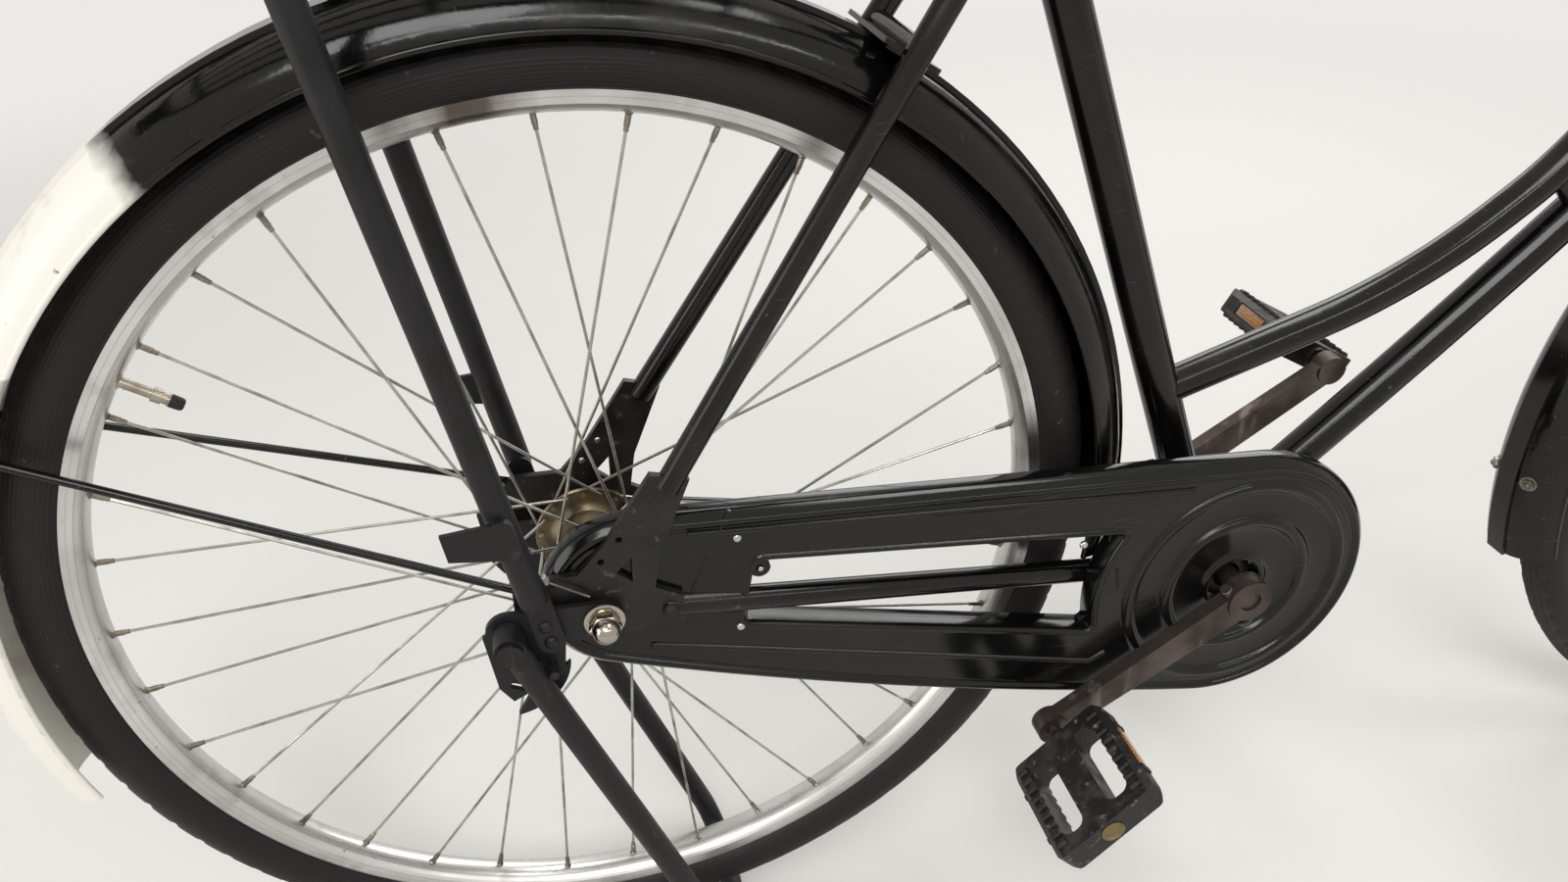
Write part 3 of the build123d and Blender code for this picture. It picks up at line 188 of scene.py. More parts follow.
SADDLE_SKIRT_CURVE = 0.55
SADDLE_MIDDLE = 85.0
SADDLE_WELT_DROP = 10.0
SADDLE_WELT_R = 2.0
SADDLE_WELT_STEPS = 144

# Saddle stations from the back: distance, half width, skirt depth, height of the middle above the edge
SADDLE_STATIONS = (
    (-3, 34, 20, -8), (0, 66, 30, -3), (14, 90, 38, 2), (40, 105, 45, 5), (80, 108, 48, 4), (120, 92, 47, 1),
    (155, 66, 45, 1), (190, 40, 42, 2), (225, 25, 37, 3), (250, 19, 31, 1), (262, 12, 24, -3),
    (265, 5, 18, -8))

# Wheels
SPOKE_COUNT = 36
SPOKE_START_ANGLE = 2.3
SPOKE_CROSS_ANGLE = 60.0
RIM_INNER_R = RIM_R - 16.0
SPOKE_OFFSET_AT_RIM = 2.0
NIPPLE_LENGTH = 11.0
REAR_HUB = dict(name="rear", hole_r=32.5, flange_y=27.0, flange_r=36.0, barrel_r=21.0, half_length=33.0)
FRONT_HUB = dict(name="front", hole_r=18.0, flange_y=33.0, flange_r=21.0, barrel_r=11.0, half_length=42.0)
HUB_FLANGE_HALF = 1.5
HUB_WAIST_SHARE = 0.72
VALVE_ANGLE = 147.5
VALVE_STEM = (
    (0, 4.2), (1.4, 4.2), (1.5, 3.1), (4, 3.1), (4.1, 3.7), (4.6, 3.7), (4.7, 3.1), (18, 3.1), (18.2, 4.4),
    (23.8, 4.4), (24, 3.4), (27, 3.4), (27.2, 3.9), (28, 3.9))
VALVE_CAP = ((28.1, 3.2), (28.2, 4.1), (34, 3.9), (35.6, 3.4), (36.2, 2.2), (36.3, 0.1))

# Axle nuts: each axle's body, middle, nut face and cone face, then the washer's and the hexagon's steps
AXLES = {"rear": ("frame", 0.0, 70.5, 33.5), "front": ("steering", WHEELBASE, 52.5, 42.5)}
AXLE_WASHER = ((0, 12.5), (0.3, 13.0), (1.6, 13.0), (1.9, 12.5), (2.0, 9.9), (3.6, 9.9), (3.7, 5.0))
AXLE_HEXAGON = ((3.6, 9.6), (4.4, 10.4), (9.4, 10.4), (10.2, 9.4))

# Tyre section: its centre and radius, and how far round its arc the tread and the walls reach, in degrees
TYRE_ARC_R = 20.0
TYRE_LIP_ANGLE = 133.0
TYRE_BEAD_HALF = 9.0
TYRE_BEAD_DROP = 4.0
TYRE_ARC_STEPS = 38
TYRE_SEGMENTS = 720
TREAD_HALF_ANGLE = 52.0
TREAD_GROOVES = (0.0, 14.0, 28.0)
TREAD_GROOVE_HALF = 2.4
TREAD_LEAN = 0.06
WALL_RINGS = (74.0, 104.0)
WALL_RING_HALF = 3.6
WALL_RING_DEPTH = 0.35

# Tread notches: nearest and furthest angle, start and end within one pitch, share of the grooves' depth
TREAD_NOTCHES = ((30.0, 90.0, 0.0, 0.3, 0.9), (14.0, 28.0, 0.5, 0.68, 0.6))

# Camera that took the picture, in the bicycle's own frame
CAMERA_PLACE = (-36.5, -678.2, 499.6)
CAMERA_YAW = 13.93
CAMERA_PITCH = -31.46
CAMERA_ROLL = 0.79
CAMERA_FOCAL_PIXELS = 1256.6
PICTURE_WIDTH = 1600
SENSOR_WIDTH = 36.0
CAMERA_CLIP = 0.02

# Studio in metres: the floor and where it fades into the backdrop, then lamps by name, place, size, power
BACKDROP = "#eceae6"
FLOOR_HALF = 30.0
FLOOR_FADE = (1.2, 3.4)
WORLD_STRENGTH = 0.42
LIT_POINT = Vector((0, 0, 0.4))
STUDIO_LAMPS = (
    ("key_lamp", (-1.2, -2.2, 3.0), (1.8, 1.2), 52.0),
    ("strip_lamp", (0.1, -2.5, 2.2), (2.8, 0.1), 15.0),
    ("top_lamp", (0.6, 0.2, 3.2), (2.6, 0.7), 48.0),
    ("back_lamp", (1.4, 2.6, 1.9), (2.4, 1.2), 34.0),
    ("low_lamp", (-2.6, -0.6, 0.9), (1.0, 1.4), 14.0),
)

# A wave texture's bands at scale 1 and the lens's ribs, in millimetres
BAND_SPACING = 2 * math.pi / 20 * METRE
LENS_RIB_SPACING = 4.488

# Sides of the turned bars, of which those with few sides are shaded flat
MOST_FLAT_SIDES = 8
HEXAGON = 6
THIN_BAR_SIDES = 10
WIRE_SIDES = 12
RIDGE_SIDES = 14
BOLT_SIDES = 18
VALVE_SIDES = 20
KNOB_SIDES = 24
DISC_SIDES = 28
GRIP_SIDES = 32
ROUND_SIDES = 48
LAMP_RING_SIDES = 64


def direction(angle):
    """A unit vector in the wheel plane, from forward towards up."""
    turn = math.radians(angle)
    return Vector((math.cos(turn), 0, math.sin(turn)))


STEER_UP = direction(180 - HEAD_ANGLE)
STEER_FORWARD = direction(90 - HEAD_ANGLE)
STEER_FOOT = Vector((WHEELBASE, 0, 0)) - STEER_FORWARD * RAKE
CLAMP = STEER_FOOT + STEER_UP * STEM_TOP + Vector((STEM_REACH, 0, 6))


def on_steering(distance, forward):
    """A point up the steering axis and ahead of it."""
    return STEER_FOOT + STEER_UP * distance + STEER_FORWARD * forward


def linear(code):
    """An sRGB hex colour as linear RGBA."""
    parts = [int(code[i:i + 2], 16) / 255 for i in (1, 3, 5)]
    return tuple(p / 12.92 if p <= 0.04045 else ((p + 0.055) / 1.055) ** 2.4 for p in parts) + (1.0,)


# Surfaces


def add(tree, kind, sockets=None, **settings):
    """Adds one node, with its settings, its sockets' values and its links."""
    made = tree.nodes.new(kind)
    for key, value in settings.items():
        setattr(made, key, value)
    for key, value in (sockets or {}).items():
        if isinstance(value, bpy.types.Node):
            value = value.outputs[0]
        if isinstance(value, bpy.types.NodeSocket):
            tree.links.new(value, made.inputs[key])
        else:
            made.inputs[key].default_value = value
    return made


def new_surface(name, **values):
    """A material with one Principled shader; returns it, its tree, its shader and its coordinates."""
    surface = bpy.data.materials.new(name)
    surface.use_nodes = True
    tree = surface.node_tree
    shader = tree.nodes["Principled BSDF"]
    for key, value in values.items():
        shader.inputs[key.replace("_", " ")].default_value = value
    where = add(tree, "ShaderNodeTexCoord").outputs["Object"]
    return surface, tree, shader, where


def patches(tree, where, size, low, high, detail=4.0):
    """A mask of patches of a size in millimetres, or of streaks of three sizes."""
    if isinstance(size, tuple):
        where = add(tree, "ShaderNodeMapping", {"Vector": where, "Scale": [METRE / side for side in size]})
        size = METRE
    noise = add(tree, "ShaderNodeTexNoise", {"Vector": where, "Scale": METRE / size, "Detail": detail})
    return add(tree, "ShaderNodeMapRange", {"Value": noise, "From Min": low, "From Max": high})


def rings(tree, where, centre, spacing, low, high):
    """A mask of rings round a wheel's axle at a spacing in millimetres."""
    offset = add(tree, "ShaderNodeVectorMath", {0: where, 1: centre}, operation="SUBTRACT")
    flat = add(tree, "ShaderNodeVectorMath", {0: offset, 1: (1.0, 0.0, 1.0)}, operation="MULTIPLY")
    radius = add(tree, "ShaderNodeVectorMath", {0: flat}, operation="LENGTH").outputs["Value"]
    turn = add(tree, "ShaderNodeMath", {0: radius, 1: 2 * math.pi * METRE / spacing}, operation="MULTIPLY")
    wave = add(tree, "ShaderNodeMath", {0: turn}, operation="SINE")
    return add(tree, "ShaderNodeMapRange", {"Value": wave, "From Min": low, "From Max": high})


def layered(tree, under, *layers):
    """Colours laid over one another by masks; a colour is a hex code, an RGBA or a node."""
    for mask, over, *share in layers:
        if share:
            mask = add(tree, "ShaderNodeMath", {0: mask, 1: share[0]}, operation="MULTIPLY")
        colours = [linear(each) if isinstance(each, str) else each for each in (under, over)]
        under = add(tree, "ShaderNodeMixRGB", {"Fac": mask, "Color1": colours[0], "Color2": colours[1]})
    return under


def dressed(tree, shader, colour=None, rough=None, relief=None):
    """Links a shader's colour, its roughness (mask, low, high) and its relief (height, strength, depth)."""
    links = []
    if colour is not None:
        links.append((colour, "Base Color"))
    if rough is not None:
        mask, low, high = rough
        dullness = add(tree, "ShaderNodeMapRange", {"Value": mask, "To Min": low, "To Max": high})
        links.append((dullness, "Roughness"))
    if relief is not None:
        height, strength, depth = relief
        bump = add(tree, "ShaderNodeBump", {"Height": height, "Strength": strength, "Distance": depth})
        links.append((bump, "Normal"))
    for node, socket in links:
        tree.links.new(node.outputs[0], shader.inputs[socket])


def worn(name, base, layers, rough, relief=None, **values):
    """A finish of one colour with others over it by patches, the first of which sets its roughness."""
    surface, tree, shader, where = new_surface(name, **values)
    masks = [patches(tree, where, *patch) for patch, over in layers]
    colour = layered(tree, base, *[(mask, over) for mask, (patch, over) in zip(masks, layers)])
    if relief is not None:
        patch, strength, depth = relief
        relief = (patches(tree, where, *patch), strength, depth)
    dressed(tree, shader, colour, (masks[0], *rough), relief)
    return surface


def black_enamel(name):
    """Gloss black stove enamel over steel: a deep mirror dulled by dust, fine scratches and brown chips."""
    dust = (71.43, 0.5, 0.8)
    scratches = ((16.67, 16.67, 1.4286), 0.7, 0.74, 2.0)
    chips = (6.25, 0.71, 0.74, 3.0)
    ripple = (2.0, 0.3, 0.8, 2.0)
    layers = ((dust, "#1b1817"), (scratches, "#302c2a"), (chips, "#4a372c"))
    return worn(name, "#0a0909", layers, (0.13, 0.34), (ripple, 0.04, 0.0004),
                Roughness=0.2, IOR=1.5, Specular_IOR_Level=0.32)


def handled_enamel(name):
    """The same enamel where boots, bolts and hands reach: dull, with pale rubbed patches."""
    film = (25.0, 0.35, 0.7, 6.0)
    rubbed = (6.667, 0.64, 0.72)
    grit = (2.381, 0.3, 0.8)
    layers = ((film, "#262020"), (rubbed, "#483d39"))
    return worn(name, "#161212", layers, (0.3, 0.6), (grit, 0.12, 0.0005),
                Roughness=0.42, IOR=1.5, Specular_IOR_Level=0.3)


def guard_enamel(name):
    """The same enamel with a brushed white tail, feathered at its border and stained with rust and dirt."""
    surface, tree, shader, where = new_surface(name, Roughness=0.22, IOR=1.5, Specular_IOR_Level=0.32)
    offset = add(tree, "ShaderNodeVectorMath", {0: where, 1: REAR_AXLE}, operation="SUBTRACT")
    tail = TILT @ direction(TAIL_ANGLE + 90)
    beyond = add(tree, "ShaderNodeVectorMath", {0: offset, 1: tail}, operation="DOT_PRODUCT").outputs["Value"]
    ragged = add(tree, "ShaderNodeTexNoise", {"Vector": where, "Scale": METRE / 14.29, "Detail": 5.0})
    shift = add(tree, "ShaderNodeMath", {0: ragged, 1: 0.014, 2: -0.007}, operation="MULTIPLY_ADD")
    edge = add(tree, "ShaderNodeMath", {0: beyond, 1: shift}, operation="ADD")
    white = add(tree, "ShaderNodeMapRange", {"Value": edge, "From Min": -0.012, "From Max": 0.003})
    dust = patches(tree, where, 71.43, 0.52, 0.85)
    scratches = patches(tree, where, (3.333, 33.33, 16.67), 0.7, 0.74, 2.0)
    black = layered(tree, "#090808", (dust, "#141211"), (scratches, "#2a2624"))
    soot = patches(tree, where, 35.71, 0.6, 0.85, 6.0)
    rust = patches(tree, where, 9.091, 0.72, 0.76)
    pale = layered(tree, "#e6e3da", (soot, "#bdb4a4"), (rust, "#8d6a3e"))
    dullness = layered(tree, dust, (white, "#b8b8b8"))
    brush = patches(tree, where, 3.846, 0.3, 0.8, 3.0)
    dressed(tree, shader, layered(tree, black, (white, pale)), (dullness, 0.13, 0.42), (brush, 0.06, 0.0006))
    return surface


def dull_black_paint(name):
    """Brushed-on black paint, chalked to a dark blue grey, with rubbed streaks and patches of rust."""
    chalk = (45.45, 0.4, 0.75, 5.0)
    streaks = ((4.545, 4.545, 55.56), 0.64, 0.76, 3.0)
    rust = (16.67, 0.68, 0.78, 5.0)
    brush = (2.632, 0.3, 0.8)
    layers = ((chalk, "#201e20"), (streaks, "#2f2c2c"), (rust, "#3c2d26"))
    return worn(name, "#141314", layers, (0.38, 0.68), (brush, 0.15, 0.0006),
                Roughness=0.5, IOR=1.48, Specular_IOR_Level=0.3)


def tyre_rubber(name, centre):
    """Aged black rubber: fine moulded rings on the wall, patches of brown dust, dry pale specks."""
    surface, tree, shader, where = new_surface(name, Roughness=0.75, IOR=1.52, Specular_IOR_Level=0.25)
    dust = patches(tree, where, 111.1, 0.42, 0.78, 6.0)
    specks = patches(tree, where, 8.333, 0.72, 0.76, 3.0)
    lines = rings(tree, where, centre, 2.4, 0.3, 1.0)
    colour = layered(tree, "#131112", (dust, "#231f1e"), (specks, "#453f3a"), (lines, "#2e2a29", 0.4))
    dressed(tree, shader, colour, (dust, 0.5, 0.8), (lines, 0.3, 0.0005))
    return surface


def rim_aluminium(name, centre):
    """Rolled aluminium: satin, lined round the wheel, pitted and, at the rear, stained dark."""
    surface, tree, shader, where = new_surface(name, Metallic=1.0, Roughness=0.36)
    cloud = patches(tree, where, 62.5, 0.35, 0.75, 5.0)
    pits = patches(tree, where, 3.333, 0.7, 0.76, 3.0)
    grime = patches(tree, where, 29.41, 0.55, 0.72, 6.0)
    lines = rings(tree, where, centre, 4.2, 0.7, 1.0)
    colour = layered(tree, "#d3d1d0", (cloud, "#bab7b4"), (lines, "#8f8b87", 0.35), (pits, "#8d8880"),
                     (grime, "#7d7368", 0.35))
    if centre == REAR_AXLE:
        place = BIKE_TO_SCENE @ Vector(STAIN_PLACE)
        reach = add(tree, "ShaderNodeVectorMath", {0: where, 1: place}, operation="DISTANCE").outputs["Value"]
        torn = add(tree, "ShaderNodeTexNoise", {"Vector": where, "Scale": METRE / 16.67, "Detail": 5.0})
        spread = add(tree, "ShaderNodeMath", {0: torn, 1: 0.03, 2: reach}, operation="MULTIPLY_ADD")
        fade = {"Value": spread, "From Min": 0.024, "From Max": 0.05, "To Min": 0.9, "To Max": 0.0}
        colour = layered(tree, colour, (add(tree, "ShaderNodeMapRange", fade), "#463b34"))
    dressed(tree, shader, colour, (cloud, 0.26, 0.44), (lines, 0.12, 0.0004))
    return surface


def zinc_plate(name, base="#a39f97", grime="#6f675c"):
    """Zinc plating gone grey, with dull grime where it is not wiped."""
    film = (16.67, 0.4, 0.75, 5.0)
    return worn(name, base, ((film, grime),), (0.26, 0.55), Metallic=1.0, Roughness=0.36)


def hub_steel(name):
    """Old plated hub steel under brown oil: brassy where it shows through."""
    oil = (18.18, 0.38, 0.66, 6.0)
    return worn(name, "#8f8168", ((oil, "#3d352a"),), (0.3, 0.6), (oil, 0.2, 0.0006),
                Metallic=0.85, Roughness=0.42)


def bright_chrome(name, base="#b9b6b2"):
    """Nickel and chrome plate, a mirror with a little haze and fine pits."""
    surface, tree, shader, where = new_surface(name, Metallic=1.0, Roughness=0.1)
    haze = patches(tree, where, 33.33, 0.4, 0.8)
    pits = patches(tree, where, 2.381, 0.7, 0.74, 2.0)
    dressed(tree, shader, layered(tree, base, (pits, "#7a6a58")), (haze, 0.08, 0.26))
    return surface


def case_plastic(name):
    """Injection-moulded black ABS: deep black with a soft gloss, hair scratches and a film of dust."""
    dust = (90.91, 0.48, 0.8, 5.0)
    hairs = ((40.0, 40.0, 2.0), 0.7, 0.74, 2.0)
    grain = (1.111, 0.3, 0.8, 2.0)
    layers = ((dust, "#151414"), (hairs, "#282625"))
    return worn(name, "#0a0a0a", layers, (0.12, 0.3), (grain, 0.05, 0.0003),
                Roughness=0.24, IOR=1.53, Specular_IOR_Level=0.3)


def tarnished_steel(name):
    """Forged crank steel whose plating has gone dark brown, rubbed brighter along the arm."""
    tarnish = (38.46, 0.35, 0.65, 6.0)
    rubbed = ((16.67, 16.67, 83.33), 0.58, 0.72)
    scale = (3.333, 0.3, 0.8)
    layers = ((tarnish, "#3b3330"), (rubbed, "#80756f"))
    return worn(name, "#5b514d", layers, (0.32, 0.6), (scale, 0.15, 0.0005), Metallic=0.8, Roughness=0.4)


def pedal_plastic(name):
    """Moulded nylon, scuffed grey-brown where a shoe meets it."""
    scuffs = (14.29, 0.48, 0.72, 6.0)
    scrapes = (6.667, 0.62, 0.7, 5.0)
    grain = (2.381, 0.3, 0.8)
    layers = ((scuffs, "#35302d"), (scrapes, "#5a514b"))
    return worn(name, "#171615", layers, (0.42, 0.75), (grain, 0.25, 0.0006),
                Roughness=0.55, IOR=1.5, Specular_IOR_Level=0.3)


def prism_plastic(name, base, depth):
    """A moulded reflector: clear coloured plastic over 3 mm prisms, with a painted highlight and shade in
    each cell, darker towards the cell's edge.
    """
    surface, tree, shader, where = new_surface(
        name, Roughness=0.15, IOR=1.49, Coat_Weight=0.8, Coat_Roughness=0.05)
    cells = add(tree, "ShaderNodeTexVoronoi", {"Vector": where, "Scale": METRE / 3.03, "Randomness": 0.25})
    # Painted highlight and shade: each prism cell goes from the base colour at its middle to the darker depth
    # colour at its edge.
    painted_highlight_and_shade = add(tree, "ShaderNodeMapRange", {"Value": cells, "From Min": 0.1, "From Max": 0.6})
    dressed(tree, shader, layered(tree, base, (painted_highlight_and_shade, depth)), relief=(cells, 0.5, 0.0008))
    return surface


def saddle_cover(name):
    """Leathercloth: pebbled grain of 2 mm, worn smoother and greyer in patches."""
    surface, tree, shader, where = new_surface(name, Roughness=0.5, IOR=1.5, Specular_IOR_Level=0.35)
    grain = {"Vector": where, "Scale": METRE / 1.923}
    pebbles = add(tree, "ShaderNodeTexVoronoi", grain, feature="SMOOTH_F1")
    rubbed = patches(tree, where, 83.33, 0.4, 0.7, 5.0)
    dressed(tree, shader, layered(tree, "#1a1715", (rubbed, "#2e2925")), (rubbed, 0.36, 0.62),
            (pebbles, 0.35, 0.0006))
    return surface


def grip_rubber(name):
    """Soft black moulded rubber with a fine matt skin, rubbed by palms."""
    palms = (33.33, 0.4, 0.7)
    skin = (1.667, 0.3, 0.8, 3.0)
    return worn(name, "#171616", ((palms, "#2a2827"),), (0.5, 0.78), (skin, 0.2, 0.0004),
                Roughness=0.7, IOR=1.5, Specular_IOR_Level=0.3)


def lens_plastic(name):
    """Clear lamp lens with moulded upright ribs."""
    surface, tree, shader, where = new_surface(
        name, Roughness=0.06, IOR=1.49, Transmission_Weight=0.85, Base_Color=linear("#f1f2ef"))
    ribs = add(tree, "ShaderNodeTexWave", {"Vector": where, "Scale": BAND_SPACING / LENS_RIB_SPACING},
               bands_direction="Y")
    dressed(tree, shader, relief=(ribs, 0.35, 0.001))
    return surface


def seen_by(tree, *kinds):
    """Whether a ray is of one of the kinds, such as Camera or Glossy."""
    ray = add(tree, "ShaderNodeLightPath")
    seen = ray.outputs[f"Is {kinds[0]} Ray"]
    for kind in kinds[1:]:
        seen = add(tree, "ShaderNodeMath", {0: seen, 1: ray.outputs[f"Is {kind} Ray"]}, operation="MAXIMUM")
    return seen


def floor_paint(name):
    """Plain pale floor that keeps the shadow near the bicycle and runs into the pale backdrop far from it."""
    surface, tree, shader, where = new_surface(name, Roughness=0.85, Base_Color=linear("#dcdad6"))
    distance = add(tree, "ShaderNodeVectorMath", {0: where}, operation="LENGTH").outputs["Value"]
    near, far = FLOOR_FADE
    fade = add(tree, "ShaderNodeMapRange", {"Value": distance, "From Min": near, "From Max": far},
               interpolation_type="SMOOTHSTEP")
    seen = seen_by(tree, "Camera", "Glossy")
    share = add(tree, "ShaderNodeMath", {0: fade, 1: seen}, operation="MULTIPLY")
    glow = add(tree, "ShaderNodeEmission", {"Color": linear(BACKDROP), "Strength": 1.0})
    mixed = add(tree, "ShaderNodeMixShader", {0: share, 1: shader, 2: glow})
    tree.links.new(mixed.outputs[0], tree.nodes["Material Output"].inputs["Surface"])
    return surface


# Each finish by its name, then the finishes of the record's slots and of single parts
FINISHES = {
    "stove_enamel": (black_enamel,), "lamp_enamel": (black_enamel,), "handled_enamel": (handled_enamel,),
    "mudguard_enamel": (guard_enamel,), "dull_black_paint": (dull_black_paint,),
    "spring_steel": (dull_black_paint,), "rear_tyre_rubber": (tyre_rubber, REAR_AXLE),
    "front_tyre_rubber": (tyre_rubber, FRONT_AXLE), "rear_rim_aluminium": (rim_aluminium, REAR_AXLE),
    "front_rim_aluminium": (rim_aluminium, FRONT_AXLE), "oily_hub_steel": (hub_steel,),
    "zinc_plate": (zinc_plate,), "spoke_zinc": (zinc_plate, "#b5b2ab", "#7b756c"),
    "nipple_brass": (zinc_plate, "#8f887b", "#4d453b"), "valve_nickel": (zinc_plate, "#a79f90", "#6b5f4f"),
    "bolt_zinc": (zinc_plate, "#8d8982", "#544d44"), "cap_brass": (zinc_plate, "#80704e", "#43392a"),
    "bright_chrome": (bright_chrome,), "bright_screw": (bright_chrome,),
    "nut_nickel": (bright_chrome, "#a89f92"), "moulded_case_plastic": (case_plastic,),
    "tarnished_crank_steel": (tarnished_steel,), "scuffed_pedal_plastic": (pedal_plastic,),
    "moulded_grip_rubber": (grip_rubber,), "saddle_leathercloth": (saddle_cover,),
    # The red prisms' second colour is the painted shade at each cell's edge.
    "red_prisms": (prism_plastic, "#a31512", "#5e0806"), "lamp_glass": (lens_plastic,),
    "pale_floor": (floor_paint,),
}
SLOT_FINISHES = {
    "enamel": "stove_enamel", "lamp": "lamp_enamel", "matt_steel": "dull_black_paint",
    "hub": "oily_hub_steel", "zinc": "zinc_plate", "chrome": "bright_chrome", "case": "moulded_case_plastic",
    "crank": "tarnished_crank_steel", "pedal": "scuffed_pedal_plastic", "grip": "moulded_grip_rubber",
    "saddle": "saddle_leathercloth", "reflector": "red_prisms",
}
PART_FINISHES = {
    "rear_mudguard": "mudguard_enamel", "dropout_left": "handled_enamel", "dropout_right": "handled_enamel",
    "brake_arm": "handled_enamel", "rear_rim": "rear_rim_aluminium", "front_rim": "front_rim_aluminium",
    "rear_tyre": "rear_tyre_rubber", "front_tyre": "front_tyre_rubber",
}
made_finishes = {}


def finish(name):
    """A material by its name, made once."""
    if name not in made_finishes:
        make, *words = FINISHES[name]
        made_finishes[name] = make(name, *words)
    return made_finishes[name]


def cover(piece, surface):
    """Gives every face of a piece one material."""
    piece.data.materials.clear()
    piece.data.materials.append(surface)
    for polygon in piece.data.polygons:
        polygon.material_index = 0


# Pieces


def settle(piece, body, slot, surface=None, replaces=()):
    """Brings a piece from the bicycle's millimetres into the scene, finishes it and hands it over."""
    piece.data.transform(BIKE_TO_SCENE)
    cover(piece, finish(surface or SLOT_FINISHES[slot]))
    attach(piece, body)
    if replaces:
        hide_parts(*replaces)


def shaded(name, mesh, sharp):
    """A new object of a smooth-shaded mesh whose edges past an angle stay sharp."""
    mesh.shade_smooth()
    mesh.set_sharp_from_angle(angle=math.radians(sharp))
    piece = bpy.data.objects.new(name, mesh)
    bpy.context.collection.objects.link(piece)
    return piece


def from_faces(name, points, faces, sharp=35.0):
    """A smooth-shaded object from points and faces, with its sharp edges kept."""
    mesh = bpy.data.meshes.new(name)
    mesh.from_pydata([tuple(p) for p in points], [], faces)
    built = bmesh.new()
    built.from_mesh(mesh)
    bmesh.ops.recalc_face_normals(built, faces=built.faces)
    built.to_mesh(mesh)
    built.free()
    return shaded(name, mesh, sharp)


def ring(name, centre, axis, profile, segments, offset=None):
    """A closed section of (distance along, radius) points round an axis, moved outward by an offset."""
    centre = Vector(centre)
    axis = Vector(axis).normalized()
    across = axis.orthogonal().normalized()
    upward = axis.cross(across)
    points = []
    faces = []
    count = len(profile)
    for turn in range(segments):
        angle = 2 * math.pi * turn / segments
        outward = across * math.cos(angle) + upward * math.sin(angle)
        for number, (along, radius) in enumerate(profile):
            lift = offset(angle, number) if offset else 0.0
            points.append(centre + axis * along + outward * (radius + lift))
            here = turn * count + number
            beside = turn * count + (number + 1) % count
            ahead = (turn + 1) % segments * count
            faces.append((here, beside, ahead + (number + 1) % count, ahead + number))
    return from_faces(name, points, faces)


def blocks(name, rows, bevel):
    """Boxes with rounded edges, each from its centre, its three axes and its half sizes."""
    mesh = bpy.data.meshes.new(name)
    built = bmesh.new()
    for centre, axes, halves in rows:
        turn = Matrix([Vector(axis).normalized() for axis in axes]).transposed().to_4x4()
        stretch = Matrix.Diagonal((*[half * 2 for half in halves], 1.0))
        bmesh.ops.create_cube(built, size=1.0, matrix=Matrix.Translation(centre) @ turn @ stretch)
    bmesh.ops.bevel(built, geom=built.edges[:], offset=bevel, segments=2, affect="EDGES", profile=0.5)
    bmesh.ops.recalc_face_normals(built, faces=built.faces)
    built.to_mesh(mesh)
    built.free()
    return shaded(name, mesh, 50.0)


def turned_tree():
    """Geometry nodes that turn lines with a thickness at each point into round or many-sided bars."""
    tree = bpy.data.node_groups.get("Turned bars")
    if tree:
        return tree
    tree = bpy.data.node_groups.new("Turned bars", "GeometryNodeTree")
    for name, kind in (("Lines", "Geometry"), ("Sides", "Int"), ("Finish", "Material")):
        tree.interface.new_socket(name, in_out="INPUT", socket_type=f"NodeSocket{kind}")
    tree.interface.new_socket("Bars", in_out="OUTPUT", socket_type="NodeSocketGeometry")
    given = add(tree, "NodeGroupInput")
    line = add(tree, "GeometryNodeMeshToCurve", {"Mesh": given.outputs["Lines"]})
    thickness = add(tree, "GeometryNodeInputNamedAttribute", {"Name": "thickness"}, data_type="FLOAT")
    section = add(tree, "GeometryNodeCurvePrimitiveCircle",
                  {"Resolution": given.outputs["Sides"], "Radius": 1.0})
    bars = add(tree, "GeometryNodeCurveToMesh",
               {"Curve": line, "Profile Curve": section, "Scale": thickness, "Fill Caps": True})
    real = add(tree, "GeometryNodeRealizeInstances", {"Geometry": bars})
    done = add(tree, "GeometryNodeSetMaterial", {"Geometry": real, "Material": given.outputs["Finish"]})
    add(tree, "NodeGroupOutput", {"Bars": done})
    return tree


def turned(name, runs, sides=16):
    """Bars turned along runs of (point, radius), as one plain mesh."""
    points = []
    edges = []
    thickness = []
    for run in runs:
        for number, (place, radius) in enumerate(run):
            if number:
                edges.append((len(points) - 1, len(points)))
            points.append(tuple(place))
            thickness.append(radius)
    lines = bpy.data.meshes.new(name)
    lines.from_pydata(points, edges, [])
    lines.attributes.new("thickness", "FLOAT", "POINT").data.foreach_set("value", thickness)
    piece = bpy.data.objects.new(name, lines)
    bpy.context.collection.objects.link(piece)
    maker = piece.modifiers.new("Turned bars", "NODES")
    maker.node_group = turned_tree()
    for socket in maker.node_group.interface.items_tree:
        if socket.name == "Sides":
            maker[socket.identifier] = sides
    shown = piece.evaluated_get(bpy.context.evaluated_depsgraph_get())
    mesh = bpy.data.meshes.new_from_object(shown)
    piece.modifiers.remove(maker)
    piece.data = mesh
    if sides > MOST_FLAT_SIDES:
        mesh.shade_smooth()
        mesh.set_sharp_from_angle(angle=math.radians(35))
    else:
        mesh.shade_flat()
    return piece


def lathe_run(start, towards, steps):
    """A run along one direction from (distance, radius) steps."""
    return [(Vector(start) + Vector(towards).normalized() * along, radius) for along, radius in steps]


def dome_steps(base, radius, height, count=5):
    """Steps of a dome that starts at a distance and closes at its height."""
    steps = []
    for number in range(count + 1):
        turn = math.pi / 2 * number / count
        steps.append((base + height * math.sin(turn), max(radius * math.cos(turn), 0.05)))
    return steps


# Properties


